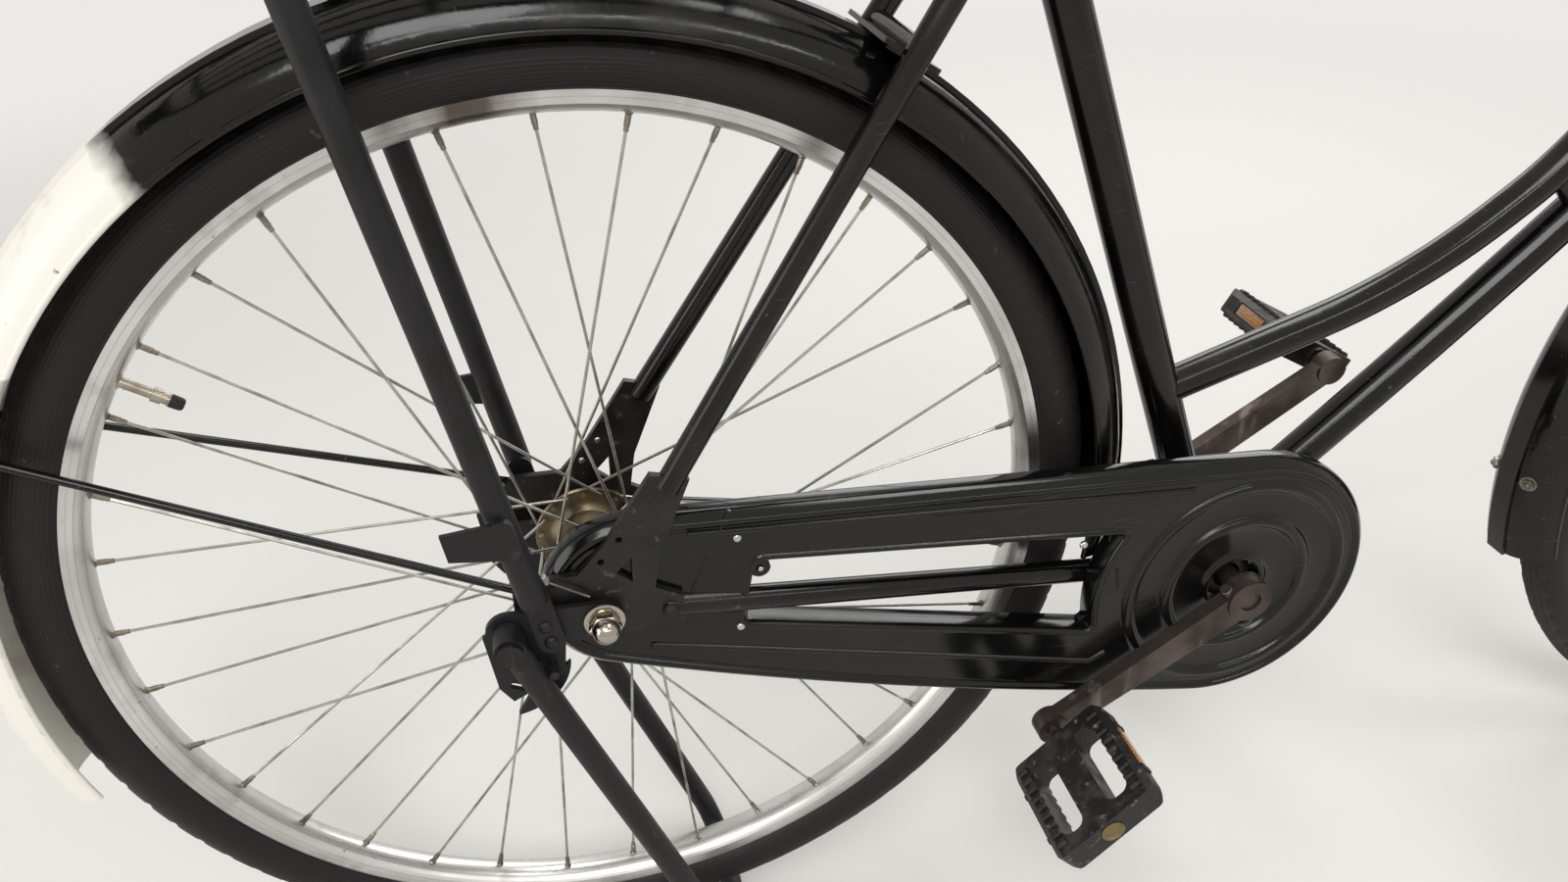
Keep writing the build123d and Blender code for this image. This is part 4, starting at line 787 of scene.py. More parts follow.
class BicycleSizes(bpy.types.PropertyGroup):
    """Sizes a user may change."""
    spoke_radius: bpy.props.FloatProperty(
        name="Spoke radius", description="Half a spoke's thickness, in millimetres",
        default=1.0, min=0.5, max=2.0)
    tread_depth: bpy.props.FloatProperty(
        name="Tread depth", description="Depth of the tyre's grooves, in millimetres",
        default=1.3, min=0.0, max=3.0)
    tread_pitch: bpy.props.FloatProperty(
        name="Tread pitch", description="Angle from one tread notch to the next, in degrees",
        default=4.0, min=2.0, max=12.0)
    nipple_radius: bpy.props.FloatProperty(
        name="Nipple radius", description="Half a nipple's thickness, in millimetres",
        default=1.9, min=1.0, max=3.0)
    spring_turns: bpy.props.IntProperty(
        name="Spring turns", description="Turns of each saddle spring", default=4, min=2, max=8)


class BicycleColours(bpy.types.PropertyGroup):
    """Colours and light a user may change."""
    amber: bpy.props.FloatVectorProperty(
        name="Pedal reflector", description="Colour of the pedals' reflectors", subtype="COLOR", size=3,
        default=linear("#c4811c")[:3])
    lamp_light: bpy.props.FloatProperty(
        name="Studio light", description="Strength of the studio's lamps", default=1.0, min=0.0, max=5.0)


class BICYCLE_OT_studio(bpy.types.Operator):
    """Makes the camera, the floor and the soft lights."""
    bl_idname = "bicycle.studio"
    bl_label = "Studio"

    def execute(self, context):
        scene = context.scene
        data = bpy.data.cameras.new("camera")
        data.sensor_width = SENSOR_WIDTH
        data.sensor_fit = "HORIZONTAL"
        data.lens = CAMERA_FOCAL_PIXELS * SENSOR_WIDTH / PICTURE_WIDTH
        data.clip_start = CAMERA_CLIP
        camera = bpy.data.objects.new("camera", data)
        scene.collection.objects.link(camera)
        yaw = math.radians(CAMERA_YAW)
        pitch = math.radians(CAMERA_PITCH)
        roll = math.radians(CAMERA_ROLL)
        ahead = Vector((math.sin(yaw) * math.cos(pitch), math.cos(yaw) * math.cos(pitch), math.sin(pitch)))
        right = Vector((math.cos(yaw), -math.sin(yaw), 0))
        up = right.cross(ahead)
        rolled_right = right * math.cos(roll) + up * math.sin(roll)
        rolled_up = up * math.cos(roll) - right * math.sin(roll)
        axes = Matrix((rolled_right, rolled_up, -ahead)).transposed()
        place = Matrix.Translation(BIKE_TO_SCENE @ Vector(CAMERA_PLACE))
        camera.matrix_world = place @ (TILT @ axes).to_4x4()
        scene.camera = camera

        corners = [(x * FLOOR_HALF, y * FLOOR_HALF, 0) for x, y in ((-1, -1), (1, -1), (1, 1), (-1, 1))]
        mesh = bpy.data.meshes.new("floor")
        mesh.from_pydata(corners, [], [(0, 1, 2, 3)])
        mesh.materials.append(finish("pale_floor"))
        floor = bpy.data.objects.new("floor", mesh)
        scene.collection.objects.link(floor)

        strength = scene.bicycle_colours.lamp_light
        for name, place, size, power in STUDIO_LAMPS:
            lamp = bpy.data.lights.new(name, "AREA")
            lamp.shape = "RECTANGLE"
            lamp.size, lamp.size_y = size
            lamp.energy = power * strength
            lit = bpy.data.objects.new(name, lamp)
            lit.location = place
            lit.rotation_euler = (LIT_POINT - Vector(place)).to_track_quat("-Z", "Y").to_euler()
            scene.collection.objects.link(lit)

        world = bpy.data.worlds.new("studio")
        scene.world = world
        world.use_nodes = True
        tree = world.node_tree
        tree.nodes.clear()
        seen = seen_by(tree, "Camera", "Glossy", "Transmission")
        plain = add(tree, "ShaderNodeBackground", {"Color": linear("#f2f1ee"), "Strength": WORLD_STRENGTH})
        shown = add(tree, "ShaderNodeBackground", {"Color": linear(BACKDROP), "Strength": 1.0})
        mixed = add(tree, "ShaderNodeMixShader", {0: seen, 1: plain, 2: shown})
        add(tree, "ShaderNodeOutputWorld", {"Surface": mixed})
        scene.view_settings.view_transform = "Standard"
        return {"FINISHED"}


class BICYCLE_OT_finishes(bpy.types.Operator):
    """Gives every carried-over part its finish."""
    bl_idname = "bicycle.finishes"
    bl_label = "Finishes"

    def execute(self, context):
        slots = {row["node"]: row["material_slot"] for row in frame["record"]["subparts"]}
        for name, part in frame["nodes"].items():
            cover(part, finish(PART_FINISHES.get(name) or SLOT_FINISHES[slots[name]]))
        return {"FINISHED"}


class BICYCLE_OT_tyres(bpy.types.Operator):
    """Makes the two tyres with grooves, shoulder notches and moulded rings on the walls."""
    bl_idname = "bicycle.tyres"
    bl_label = "Tyres"

    def execute(self, context):
        sizes = context.scene.bicycle_sizes
        centre_r = TYRE_R - TYRE_ARC_R
        angles = []
        profile = []
        for step in range(TYRE_ARC_STEPS + 1):
            angle = TYRE_LIP_ANGLE * (1 - 2 * step / TYRE_ARC_STEPS)
            turn = math.radians(angle)
            angles.append(angle)
            profile.append((TYRE_ARC_R * math.sin(turn), centre_r + TYRE_ARC_R * math.cos(turn)))
        lip_r = profile[0][1]
        for side in (-1, 1):
            angles.append(None)
            profile.append((side * TYRE_BEAD_HALF, lip_r - TYRE_BEAD_DROP))

        def tread(turn, number):
            """How far a point of the section lies above the plain tyre at a turn of the wheel."""
            angle = angles[number]
            if angle is None:
                return 0.0
            across = abs(angle)
            if across > TREAD_HALF_ANGLE:
                ringed = any(abs(across - place) < WALL_RING_HALF for place in WALL_RINGS)
                return -WALL_RING_DEPTH if ringed else 0.0
            if any(abs(across - groove) < TREAD_GROOVE_HALF for groove in TREAD_GROOVES):
                return -sizes.tread_depth
            lean = across * TREAD_LEAN * (1 if angle > 0 else -1)
            phase = (math.degrees(turn) + lean) % sizes.tread_pitch / sizes.tread_pitch
            for near, far, start, end, share in TREAD_NOTCHES:
                if near < across < far and start <= phase < end:
                    return -sizes.tread_depth * share
            return 0.0

        for end, centre_x in (("rear", 0.0), ("front", WHEELBASE)):
            tyre = ring(f"{end}_tyre_treaded", (centre_x, 0, 0), (0, 1, 0), profile, TYRE_SEGMENTS, tread)
            settle(tyre, f"{end}_wheel", "tyre", f"{end}_tyre_rubber", [f"{end}_tyre"])
        return {"FINISHED"}


class BICYCLE_OT_spokes(bpy.types.Operator):
    """Makes hub shells, spokes with their bent heads, nipples and valves."""
    bl_idname = "bicycle.spokes"
    bl_label = "Hubs and spokes"

    def execute(self, context):
        sizes = context.scene.bicycle_sizes
        for hub, centre_x in ((REAR_HUB, 0.0), (FRONT_HUB, WHEELBASE)):
            axle = Vector((centre_x, 0, 0))
            body = hub["name"] + "_wheel"
            flange_y, flange_r, barrel_r = hub["flange_y"], hub["flange_r"], hub["barrel_r"]
            thin, wide = sizes.spoke_radius, sizes.nipple_radius
            spokes = []
            nipples = []
            for number in range(SPOKE_COUNT):
                side = 1 if number % 2 else -1
                pull = 1 if number % 4 in (0, 3) else -1
                face = HUB_FLANGE_HALF + thin
                rim_angle = SPOKE_START_ANGLE + 360 / SPOKE_COUNT * number
                hole = axle + direction(rim_angle + pull * SPOKE_CROSS_ANGLE) * hub["hole_r"]
                bend = hole + Vector((0, side * (flange_y + pull * face), 0))
                head = hole + Vector((0, side * (flange_y - pull * (face + 0.6)), 0))
                tip = axle + direction(rim_angle) * (RIM_INNER_R + 0.5)
                tip += Vector((0, side * SPOKE_OFFSET_AT_RIM, 0))
                towards = (bend - tip).normalized()
                nose = tip + towards * NIPPLE_LENGTH
                away = (head - bend).normalized()
                spokes.append([
                    (head + away * 0.3, 0.3), (head + away * 0.2, 1.9), (head - away * 0.5, 1.7),
                    (head - away * 0.6, thin), (bend + away * 1.0, thin), (bend, thin),
                    (bend - towards * 2.2, thin), (nose, thin)])
                nipples.append([
                    (tip - towards * 0.5, wide + 0.9), (tip + towards * 0.6, wide + 0.8),
                    (tip + towards * 1.4, wide), (nose - towards * 3.5, wide),
                    (nose - towards * 3.2, wide * 0.86), (nose, wide * 0.8), (nose + towards * 0.3, thin)])
            settle(turned(f"{hub['name']}_spokes", spokes, THIN_BAR_SIDES), body, "zinc", "spoke_zinc")
            settle(turned(f"{hub['name']}_nipples", nipples, THIN_BAR_SIDES), body, "zinc", "nipple_brass")

            end, waist = hub["half_length"], barrel_r * HUB_WAIST_SHARE
            half = [
                (0, barrel_r * 0.92), (flange_y * 0.5, barrel_r * 0.94), (flange_y - 5, barrel_r),
                (flange_y - 2.4, barrel_r + 3), (flange_y - 1.5, barrel_r + 6),
                (flange_y - 1.4, flange_r - 0.6), (flange_y - 0.8, flange_r), (flange_y + 0.8, flange_r),
                (flange_y + 1.4, flange_r - 0.6), (flange_y + 1.5, barrel_r + 2), (flange_y + 2.2, barrel_r),
                (flange_y + 2.6, waist + 1.2), (end - 1, waist + 0.6), (end, waist - 0.6), (end + 0.05, 5.2)]
            run = [(axle + Vector((0, -y, 0)), r) for y, r in reversed(half)]
            run += [(axle + Vector((0, y, 0)), r) for y, r in half[1:]]
            shell = turned(f"{hub['name']}_hub_shell", [run], ROUND_SIDES)
            settle(shell, body, "hub", replaces=[f"{hub['name']}_hub"])

            inward = -direction(VALVE_ANGLE)
            foot = axle + direction(VALVE_ANGLE) * (RIM_INNER_R + 1)
            stem = lathe_run(foot, inward, VALVE_STEM)
            settle(turned(f"{hub['name']}_valve", [stem], VALVE_SIDES), body, "zinc", "valve_nickel")
            cap = lathe_run(foot, inward, VALVE_CAP)
            settle(turned(f"{hub['name']}_valve_cap", [cap], VALVE_SIDES), body, "grip")
        return {"FINISHED"}


class BICYCLE_OT_axle_nuts(bpy.types.Operator):
    """Makes the axles' washers, hexagon nuts and domed caps."""
    bl_idname = "bicycle.axle_nuts"
    bl_label = "Axle nuts"

    def execute(self, context):
        for end, (body, centre_x, seat, cone) in AXLES.items():
            middle = Vector((centre_x, 0, 0))
            rounds = []
            hexes = []
            for side in (-1, 1):
                out = Vector((0, side, 0))
                base = middle + out * seat
                rounds.append(lathe_run(base, out, AXLE_WASHER))
                rounds.append(lathe_run(base, out, [(9.8, 9.2), (10.4, 9.0)] + dome_steps(10.5, 8.8, 8.8)))
                hexes.append(lathe_run(base, out, AXLE_HEXAGON))
                spacer = [(0, 7.5), (0.2, 8.6), (4, 8.8), (4.2, 6.0), (seat - cone - 5, 6.0)]
                rounds.append(lathe_run(middle + out * cone, out, spacer))
            domes = turned(f"{end}_axle_domes", rounds, DISC_SIDES)
            settle(domes, body, "zinc", "nut_nickel", [f"{end}_axle"])
            settle(turned(f"{end}_axle_hexes", hexes, HEXAGON), body, "zinc", "nut_nickel")
        return {"FINISHED"}


class BICYCLE_OT_saddle(bpy.types.Operator):
    """Makes the padded saddle top and its welt."""
    bl_idname = "bicycle.saddle"
    bl_label = "Saddle"

    def execute(self, context):
        low, high = (BIKE_TO_SCENE.inverted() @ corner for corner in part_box("saddle"))
        back = low.x + SADDLE_BACK_INSET
        top = high.z - SADDLE_TOP_DROP
        points = []
        faces = []
        for station, (along, half, depth, crown) in enumerate(SADDLE_STATIONS):
            for number in range(SADDLE_RING):
                turn = 2 * math.pi * number / SADDLE_RING
                across = math.copysign(abs(math.cos(turn)) ** SADDLE_SIDE_CURVE, math.cos(turn))
                rise = math.sin(turn)
                if rise >= 0:
                    dome = rise ** SADDLE_TOP_CURVE
                    height = dome * (SADDLE_EDGE_DROP + crown) - (1 - abs(across)) * 2.0
                else:
                    height = -(abs(rise) ** SADDLE_SKIRT_CURVE) * depth
                    across *= 0.97 if abs(rise) < 0.9 else 0.8
                points.append((back + along, half * across, top - SADDLE_EDGE_DROP + height))
            if station:
                start = station * SADDLE_RING
                before = start - SADDLE_RING
                for number in range(SADDLE_RING):
                    beside = (number + 1) % SADDLE_RING
                    faces.append((before + number, before + beside, start + beside, start + number))
        faces.append(tuple(range(SADDLE_RING)))
        faces.append(tuple(range(len(points) - SADDLE_RING, len(points))))
        pad = from_faces("saddle_pad", points, faces, sharp=180.0)
        smooth = pad.modifiers.new("Rounding", "SUBSURF")
        smooth.levels = 2
        smooth.render_levels = 2

        skin = BVHTree.FromObject(pad, context.evaluated_depsgraph_get())
        middle = Vector((back + SADDLE_MIDDLE, 0, top - SADDLE_WELT_DROP))
        welt = []
        for step in range(SADDLE_WELT_STEPS + 1):
            angle = 2 * math.pi * step / SADDLE_WELT_STEPS
            place = skin.ray_cast(middle, Vector((math.cos(angle), math.sin(angle), 0)))[0]
            welt.append((place, SADDLE_WELT_R))
        settle(pad, "frame", "saddle", replaces=["saddle"])
        settle(turned("saddle_welt", [welt], THIN_BAR_SIDES), "frame", "saddle")
        return {"FINISHED"}


class BICYCLE_OT_saddle_frame(bpy.types.Operator):
    """Makes the saddle's rails, clamp and coil springs."""
    bl_idname = "bicycle.saddle_frame"
    bl_label = "Saddle frame"

    def execute(self, context):
        steps = context.scene.bicycle_sizes.spring_turns * SADDLE_COIL_STEPS
        wires = []
        plates = []
        for side in (-1, 1):
            mirror = Vector((1, side, 1))
            foot = SADDLE_SPRING * mirror
            nose = SADDLE_NOSE * mirror
            beside = SADDLE_CLAMP + Vector((0, side * SADDLE_RAIL_Y, 0))
            rail = (foot + Vector((0, 0, 2)), foot.lerp(beside, 0.5) - SADDLE_RAIL_SAG, beside,
                    beside.lerp(nose, 0.6) - SADDLE_RAIL_SAG, nose)
            wires.append([(place, SADDLE_RAIL_R) for place in rail])
            coil = []
            for step in range(steps + 1):
                angle = 2 * math.pi * step / SADDLE_COIL_STEPS
                level = 3 + (SADDLE_SPRING_HEIGHT - 6) * step / steps
                bow = Vector((SADDLE_SPRING_R * math.cos(angle), SADDLE_SPRING_R * math.sin(angle), level))
                coil.append((foot + bow, SADDLE_COIL_R))
            wires.append(coil)
            for level in (0, SADDLE_SPRING_HEIGHT - 2):
                plates.append(lathe_run(foot + Vector((0, 0, level)), (0, 0, 1), SPRING_PLATE))
        springs = turned("saddle_wires", wires, WIRE_SIDES)
        settle(springs, "frame", "matt_steel", "spring_steel", ["saddle_underframe"])
        cheeks = []
        nuts = []
        for side in (-1, 1):
            out = Vector((0, side, 0))
            cheek = [(0, 14), (0.6, 15), (8, 15), (9, 13)]
            cheeks.append(lathe_run(SADDLE_CLAMP + out * SADDLE_CHEEK_Y, out, cheek))
            seat = SADDLE_CLAMP + out * SADDLE_NUT_Y
            plates.append(lathe_run(seat, out, [(0, 5), (3, 5), (3.1, 3)]))
            nuts.append(lathe_run(seat, out, [(0, 8.6), (0.6, 9.2), (6, 9.2), (6.6, 8.4)]))
        half = Vector((0, SADDLE_CHEEK_Y, 0))
        cheeks.append([(SADDLE_CLAMP - half, 13.5), (SADDLE_CLAMP + half, 13.5)])
        settle(turned("saddle_clamp", cheeks, DISC_SIDES), "frame", "matt_steel", "spring_steel")
        settle(turned("saddle_spring_plates", plates, DISC_SIDES), "frame", "zinc")
        settle(turned("saddle_clamp_nuts", nuts, HEXAGON), "frame", "zinc")
        return {"FINISHED"}


def bolt(start, towards, head_r=4.0, height=2.6):
    """A domed bolt head."""
    steps = [(-0.8, head_r), (0.4, head_r)] + dome_steps(0.5, head_r * 0.98, height, 4)
    return lathe_run(start, towards, steps)


def nut(start, towards, across_r=5.2, height=4.0):
    """A hexagon nut."""
    steps = [(0, across_r * 0.93), (0.5, across_r), (height - 0.5, across_r), (height, across_r * 0.9)]
    return lathe_run(start, towards, steps)


class BICYCLE_OT_bolts(bpy.types.Operator):
    """Makes the bolts, rivets, cotters, bracket cups and the thin wire at the axle."""
    bl_idname = "bicycle.bolts"
    bl_label = "Bolts and rivets"

    def execute(self, context):
        heads = {"frame": [], "steering": [], "crankset": []}
        hexes = {"frame": [], "steering": [], "crankset": []}
        painted = []

        lean_angle = math.radians(GUARD_BOLT_ANGLE_IN_SECTION)
        stays = (("frame", 0, REAR_STAY_ANGLE), ("steering", WHEELBASE, FRONT_STAY_ANGLE))
        for body, centre_x, angle in stays:
            outward = direction(angle)
            for side in (-1, 1):
                lean = outward * math.cos(lean_angle) + Vector((0, side * math.sin(lean_angle), 0))
                place = Vector((centre_x, 0, 0)) + outward * GUARD_SECTION_CENTRE_R + lean * GUARD_SECTION_R
                heads[body].append(lathe_run(place, lean, [(-0.8, 6.5), (0.6, 6.5), (0.9, 5.4)]))
                hexes[body].append(nut(place + lean * 0.6, lean, 5.0, 3.6))
                heads[body].append(bolt(place + lean * 4.0, lean, 2.6, 2.0))

        for side in (-1, 1):
            out = Vector((0, side, 0))
            for x, z in LEG_RIVETS:
                painted.append(bolt(Vector((x, side * LEG_TONGUE_FACE_Y, z)), out, 4.2, 2.2))
            # The stay end bolt takes the same black paint, which on it partly stands in for the shade it sits
            # in.
            painted.append(bolt(STAY_END_BOLT * Vector((1, side, 1)), out, 5.2, 3.2))
            x, z = PLATE_BOLT
            heads["frame"].append(bolt(Vector((x, side * PLATE_FACE_Y, z)), out, 4.0, 1.8))
        wire_rear, wire_front = STAY_WIRE
        along = (wire_front - wire_rear).normalized()
        heads["frame"].append([(wire_rear - along * 4, 0.9), (wire_front - along * 9, 0.9)])
        hexes["frame"].append(nut(wire_rear - along * 1.5, along, 3.6, 5.0))
        heads["frame"].append(bolt(wire_rear + RIGHT * 0.5, RIGHT, 4.6, 2.4))

        collar = BRACKET + direction(180 - SEAT_TUBE_ANGLE) * SEAT_COLLAR_AT
        for side in (-1, 1):
            hexes["frame"].append(nut(collar + Vector((-9, side * 11, 0)), (0, side, 0), 6.2, 5.0))
        stem_top = STEER_FOOT + STEER_UP * STEM_TOP
        hexes["steering"].append(nut(stem_top + STEER_UP * 9.5, STEER_UP, 7.0, 5.5))
        shank = [(0, 4), (9, 4), (9.2, 3)]
        heads["steering"].append(lathe_run(CLAMP + Vector((-4, 0, -16)), (0, 0, -1), shank))
        hexes["steering"].append(nut(CLAMP + Vector((-4, 0, -17)), (0, 0, -1), 6.4, 5.0))

        for side in (-1, 1):
            arm = direction(CRANK_ANGLE if side < 0 else CRANK_ANGLE - 180)
            across = Vector((-arm.z, 0, arm.x))
            middle = BRACKET + Vector((0, side * (CRANK_IN + CRANK_THICKNESS / 2), 0)) + arm * COTTER_OFFSET
            heads["crankset"].append([
                (middle - across * 19, 4.0), (middle - across * 18.4, 4.6), (middle + across * 20, 4.2),
                (middle + across * 20.6, 3.4)])
            washer = [(0, 7.4), (1.4, 7.4), (1.5, 5)]
            heads["crankset"].append(lathe_run(middle + across * 15.5, across, washer))
            hexes["crankset"].append(nut(middle + across * 17, across, 6.6, 5.0))

        for body in heads:
            slot, metal = ("crank", None) if body == "crankset" else ("zinc", "bolt_zinc")
            settle(turned(f"{body}_bolt_heads", heads[body], BOLT_SIDES), body, slot, metal)
            settle(turned(f"{body}_hexagons", hexes[body], HEXAGON), body, slot, metal)
        # Black paint on the leg rivets and the stay end bolt; on the stay end bolt it is partly painted
        # shade.
        settle(turned("painted_and_shaded_heads", painted, BOLT_SIDES), "frame", "matt_steel")

        for side, name in ((-1, "right"), (1, "left")):
            sleeve = ring(f"bracket_cup_{name}", BRACKET, (0, side, 0), BRACKET_CUP, ROUND_SIDES)
            settle(sleeve, "frame", "enamel", "handled_enamel")

        screws = [bolt(Vector((x, -CASE_OUT, z)), RIGHT, 3.0, 1.6) for x, z in CASE_SCREWS]
        screws += [bolt(Vector((x, -CASE_TAB_SCREW_Y, z)), RIGHT, 2.6, 1.6) for x, z in CASE_TABS]
        settle(turned("case_screws", screws, BOLT_SIDES), "frame", "zinc", "bright_screw")
        return {"FINISHED"}


def case_edge_points(inset, level):
    """One turn of points round the case's outline, at an inset and a level."""
    span = BRACKET - CASE_REAR
    ahead = span.normalized()
    above = Vector((-ahead.z, 0, ahead.x))
    rear_r, front_r, belly_r = CASE_REAR_R - inset, CASE_FRONT_R - inset, CASE_BELLY_R - inset
    near, far = belly_r - rear_r, belly_r - front_r
    along = (near ** 2 - far ** 2 + span.length ** 2) / (2 * span.length)
    belly = CASE_REAR + ahead * along + above * math.sqrt(near ** 2 - along ** 2)
    lean = math.acos((rear_r - front_r) / span.length)

    def turn_of(vector):
        return math.atan2(vector.z, vector.x)

    def on_arc(centre, radius, angle):
        return centre + Vector((math.cos(angle), 0, math.sin(angle))) * radius

    upward = turn_of(ahead * math.cos(lean) + above * math.sin(lean))
    to_rear = turn_of(CASE_REAR - belly)
    to_front = turn_of(BRACKET - belly)
    arcs = ((CASE_REAR, rear_r, upward, to_rear, CASE_REAR_STEPS),
            (belly, belly_r, to_rear, to_front, CASE_BELLY_STEPS),
            (BRACKET, front_r, to_front, upward, CASE_FRONT_STEPS))
    points = []
    for centre, radius, start, end, count in arcs:
        sweep = (end - start) % (2 * math.pi)
        points += [on_arc(centre, radius, start + sweep * step / count) for step in range(count)]
    first = points[0]
    last = on_arc(BRACKET, front_r, upward)
    points += [last.lerp(first, step / CASE_TOP_STEPS) for step in range(CASE_TOP_STEPS)]
    return [Vector((p.x, -level, p.z)) for p in points]


def case_window_points():
    """The window's outline with rounded corners, and its outward normals."""
    corners = [Vector((x, 0, z)) for x, z in CASE_WINDOW]

    def meets_disc(start, end):
        """Where a line meets the disc's edge, by halving."""
        low, high = 0.0, 1.0
        for _ in range(40):
            middle = (low + high) / 2
            if (start.lerp(end, middle) - BRACKET).length > CASE_DISC_R:
                low = middle
            else:
                high = middle
        return start.lerp(end, low)

    top = meets_disc(corners[0], corners[1])
    bottom = meets_disc(corners[3], corners[2])
    first = math.atan2(top.z - BRACKET.z, top.x - BRACKET.x)
    last = math.atan2(bottom.z - BRACKET.z, bottom.x - BRACKET.x)
    sweep = (last - first) % (2 * math.pi)
    arc = []
    for step in range(25):
        angle = first + sweep * step / 24
        arc.append(BRACKET + Vector((math.cos(angle), 0, math.sin(angle))) * CASE_DISC_R)
    sides = [[corners[0].lerp(top, step / 12) for step in range(13)], arc,
             [bottom.lerp(corners[3], step / 12) for step in range(13)],
             [corners[3].lerp(corners[0], step / 4) for step in range(5)]]
    path = []
    for number, side in enumerate(sides):
        after = sides[(number + 1) % len(sides)]
        corner = side[-1]
        path += [point for point in side if (point - side[0]).length > CASE_WINDOW_CORNER
                 and (point - corner).length > CASE_WINDOW_CORNER]
        leave = corner + (side[-2] - corner).normalized() * CASE_WINDOW_CORNER
        enter = corner + (after[1] - corner).normalized() * CASE_WINDOW_CORNER
        for share in [step / 8 for step in range(9)]:
            path.append(leave.lerp(corner, share).lerp(corner.lerp(enter, share), share))
    normals = []
    for number, point in enumerate(path):
        along = path[(number + 1) % len(path)] - path[number - 1]
        normals.append(Vector((-along.z, 0, along.x)).normalized())
    return path, normals


def case_shell():
    """The case's closed skin: edge, window, disc and axle bore, joined by a front and a back face."""
    points = []
    faces = []

    def skin(loops):
        """Joins loops of one length each to the next, and returns the first and the last loop's numbers."""
        starts = []
        count = len(loops[0])
        for loop in loops:
            starts.append(len(points))
            points.extend(loop)
        for near, far in zip(starts, starts[1:]):
            for number in range(count):
                beside = (number + 1) % count
                faces.append((near + number, near + beside, far + beside, far + number))
        return [range(start, start + count) for start in (starts[0], starts[-1])]

    def circle(centre, radius, level, count):
        level = Vector((0, -level, 0))
        return [centre + direction(360 * step / count) * radius + level for step in range(count)]

    edge_back, edge_front = skin([case_edge_points(*place) for place in CASE_EDGE])
    path, normals = case_window_points()
    window_front, window_back = skin([
        [point + normal * out - Vector((0, level, 0)) for point, normal in zip(path, normals)]
        for out, level in CASE_WINDOW_EDGE])
    disc = [circle(BRACKET, radius, level, CASE_DISC_STEPS) for radius, level in CASE_DISC]
    disc_front, disc_back = skin(disc)
    bore = [circle(Vector(), CASE_AXLE_BORE_R, level, CASE_BORE_STEPS) for level in (CASE_OUT, CASE_IN)]
    bore_front, bore_back = skin(bore)
    fronts = (edge_front, window_front, disc_front, bore_front)
    backs = (edge_back, window_back, disc_back, bore_back)
    for loops in (fronts, backs):
        numbers = [number for loop in loops for number in loop]
        flat = [[Vector((points[number].x, points[number].z, 0)) for number in loop] for loop in loops]
        for triangle in tessellate_polygon(flat):
            faces.append(tuple(numbers[corner] for corner in triangle))
    return from_faces("chain_case_shell", points, faces, sharp=50.0)


class BICYCLE_OT_chain_case(bpy.types.Operator):
    """Makes the moulded chain case with its rolled edge, rings, window lip, ridges, seams and sunk tabs."""
    bl_idname = "bicycle.chain_case"
    bl_label = "Chain case"

    def execute(self, context):
        shell = case_shell()

        rear, front = CASE_STAY
        along = (front - rear).normalized()
        ends = (rear - along * 30, front + along * 20)
        room = turned("stay_room", [[(end, CASE_STAY_ROOM_R) for end in ends]], ROUND_SIDES)
        cut = shell.modifiers.new("Stay room", "BOOLEAN")
        cut.operation = "DIFFERENCE"
        cut.solver = "EXACT"
        cut.object = room
        cut_mesh = bpy.data.meshes.new_from_object(shell.evaluated_get(context.evaluated_depsgraph_get()))
        shell.modifiers.clear()
        shell.data = cut_mesh
        bpy.data.objects.remove(room)
        cut_mesh.set_sharp_from_angle(angle=math.radians(40))
        settle(shell, "frame", "case", replaces=["chain_case"])

        moulded = [lathe_run(Vector((x, -CASE_TAB_Y, z)), RIGHT, CASE_TAB_STEPS) for x, z in CASE_TABS]
        lines = [(ridge, CASE_RIDGE_R) for ridge in CASE_RIDGES]
        lines += [(seam, CASE_SEAM_R) for seam in CASE_SEAMS]
        for line, radius in lines:
            moulded.append([(Vector((x, -CASE_OUT + 0.5, z)), radius) for x, z in line])
        settle(turned("case_ridges", moulded, RIDGE_SIDES), "frame", "case")
        return {"FINISHED"}


class BICYCLE_OT_pedal_trim(bpy.types.Operator):
    """Makes the amber reflectors and the end caps of the pedals."""
    bl_idname = "bicycle.pedal_trim"
    bl_label = "Pedal reflectors"

    def execute(self, context):
        amber = (*context.scene.bicycle_colours.amber, 1.0)
        # The second amber is the painted shade at the edge of each prism cell.
        made_finishes["amber_prisms"] = prism_plastic("amber_prisms", amber, "#7d4b0a")
        cap = [(-1, 8.6), (0.6, 8.6), (1.0, 7.8), (1.1, 6.4)] + dome_steps(1.2, 6.2, 1.0, 3)
        for side, name, tilt in ((-1, "pedal_right", PEDAL_TILT[0]), (1, "pedal_left", PEDAL_TILT[1])):
            angle = CRANK_ANGLE if side < 0 else CRANK_ANGLE - 180
            eye = BRACKET + direction(angle) * CRANK_LENGTH
            middle = eye + Vector((0, side * (PEDAL_IN + PEDAL_WIDTH / 2), 0))
            ahead = direction(tilt)
            axes = (ahead, (0, 1, 0), direction(tilt + 90))
            prisms = []
            holders = []
            for end in (-1, 1):
                face = middle + ahead * (end * PEDAL_HALF_LENGTH)
                prisms.append((face, axes, PEDAL_PRISM_HALVES))
                for edge in (-PEDAL_HOLDER_Y, PEDAL_HOLDER_Y):
                    holders.append((face + Vector((0, edge, 0)), axes, PEDAL_HOLDER_HALVES))
            settle(blocks(f"{name}_reflectors", prisms, 0.6), name, "reflector", "amber_prisms")
            settle(blocks(f"{name}_reflector_frames", holders, 0.7), name, "pedal")
            out = Vector((0, side, 0))
            tip = eye + out * (PEDAL_IN + PEDAL_WIDTH)
            settle(turned(f"{name}_cap", [lathe_run(tip, out, cap)], KNOB_SIDES), name, "zinc", "cap_brass")
        return {"FINISHED"}


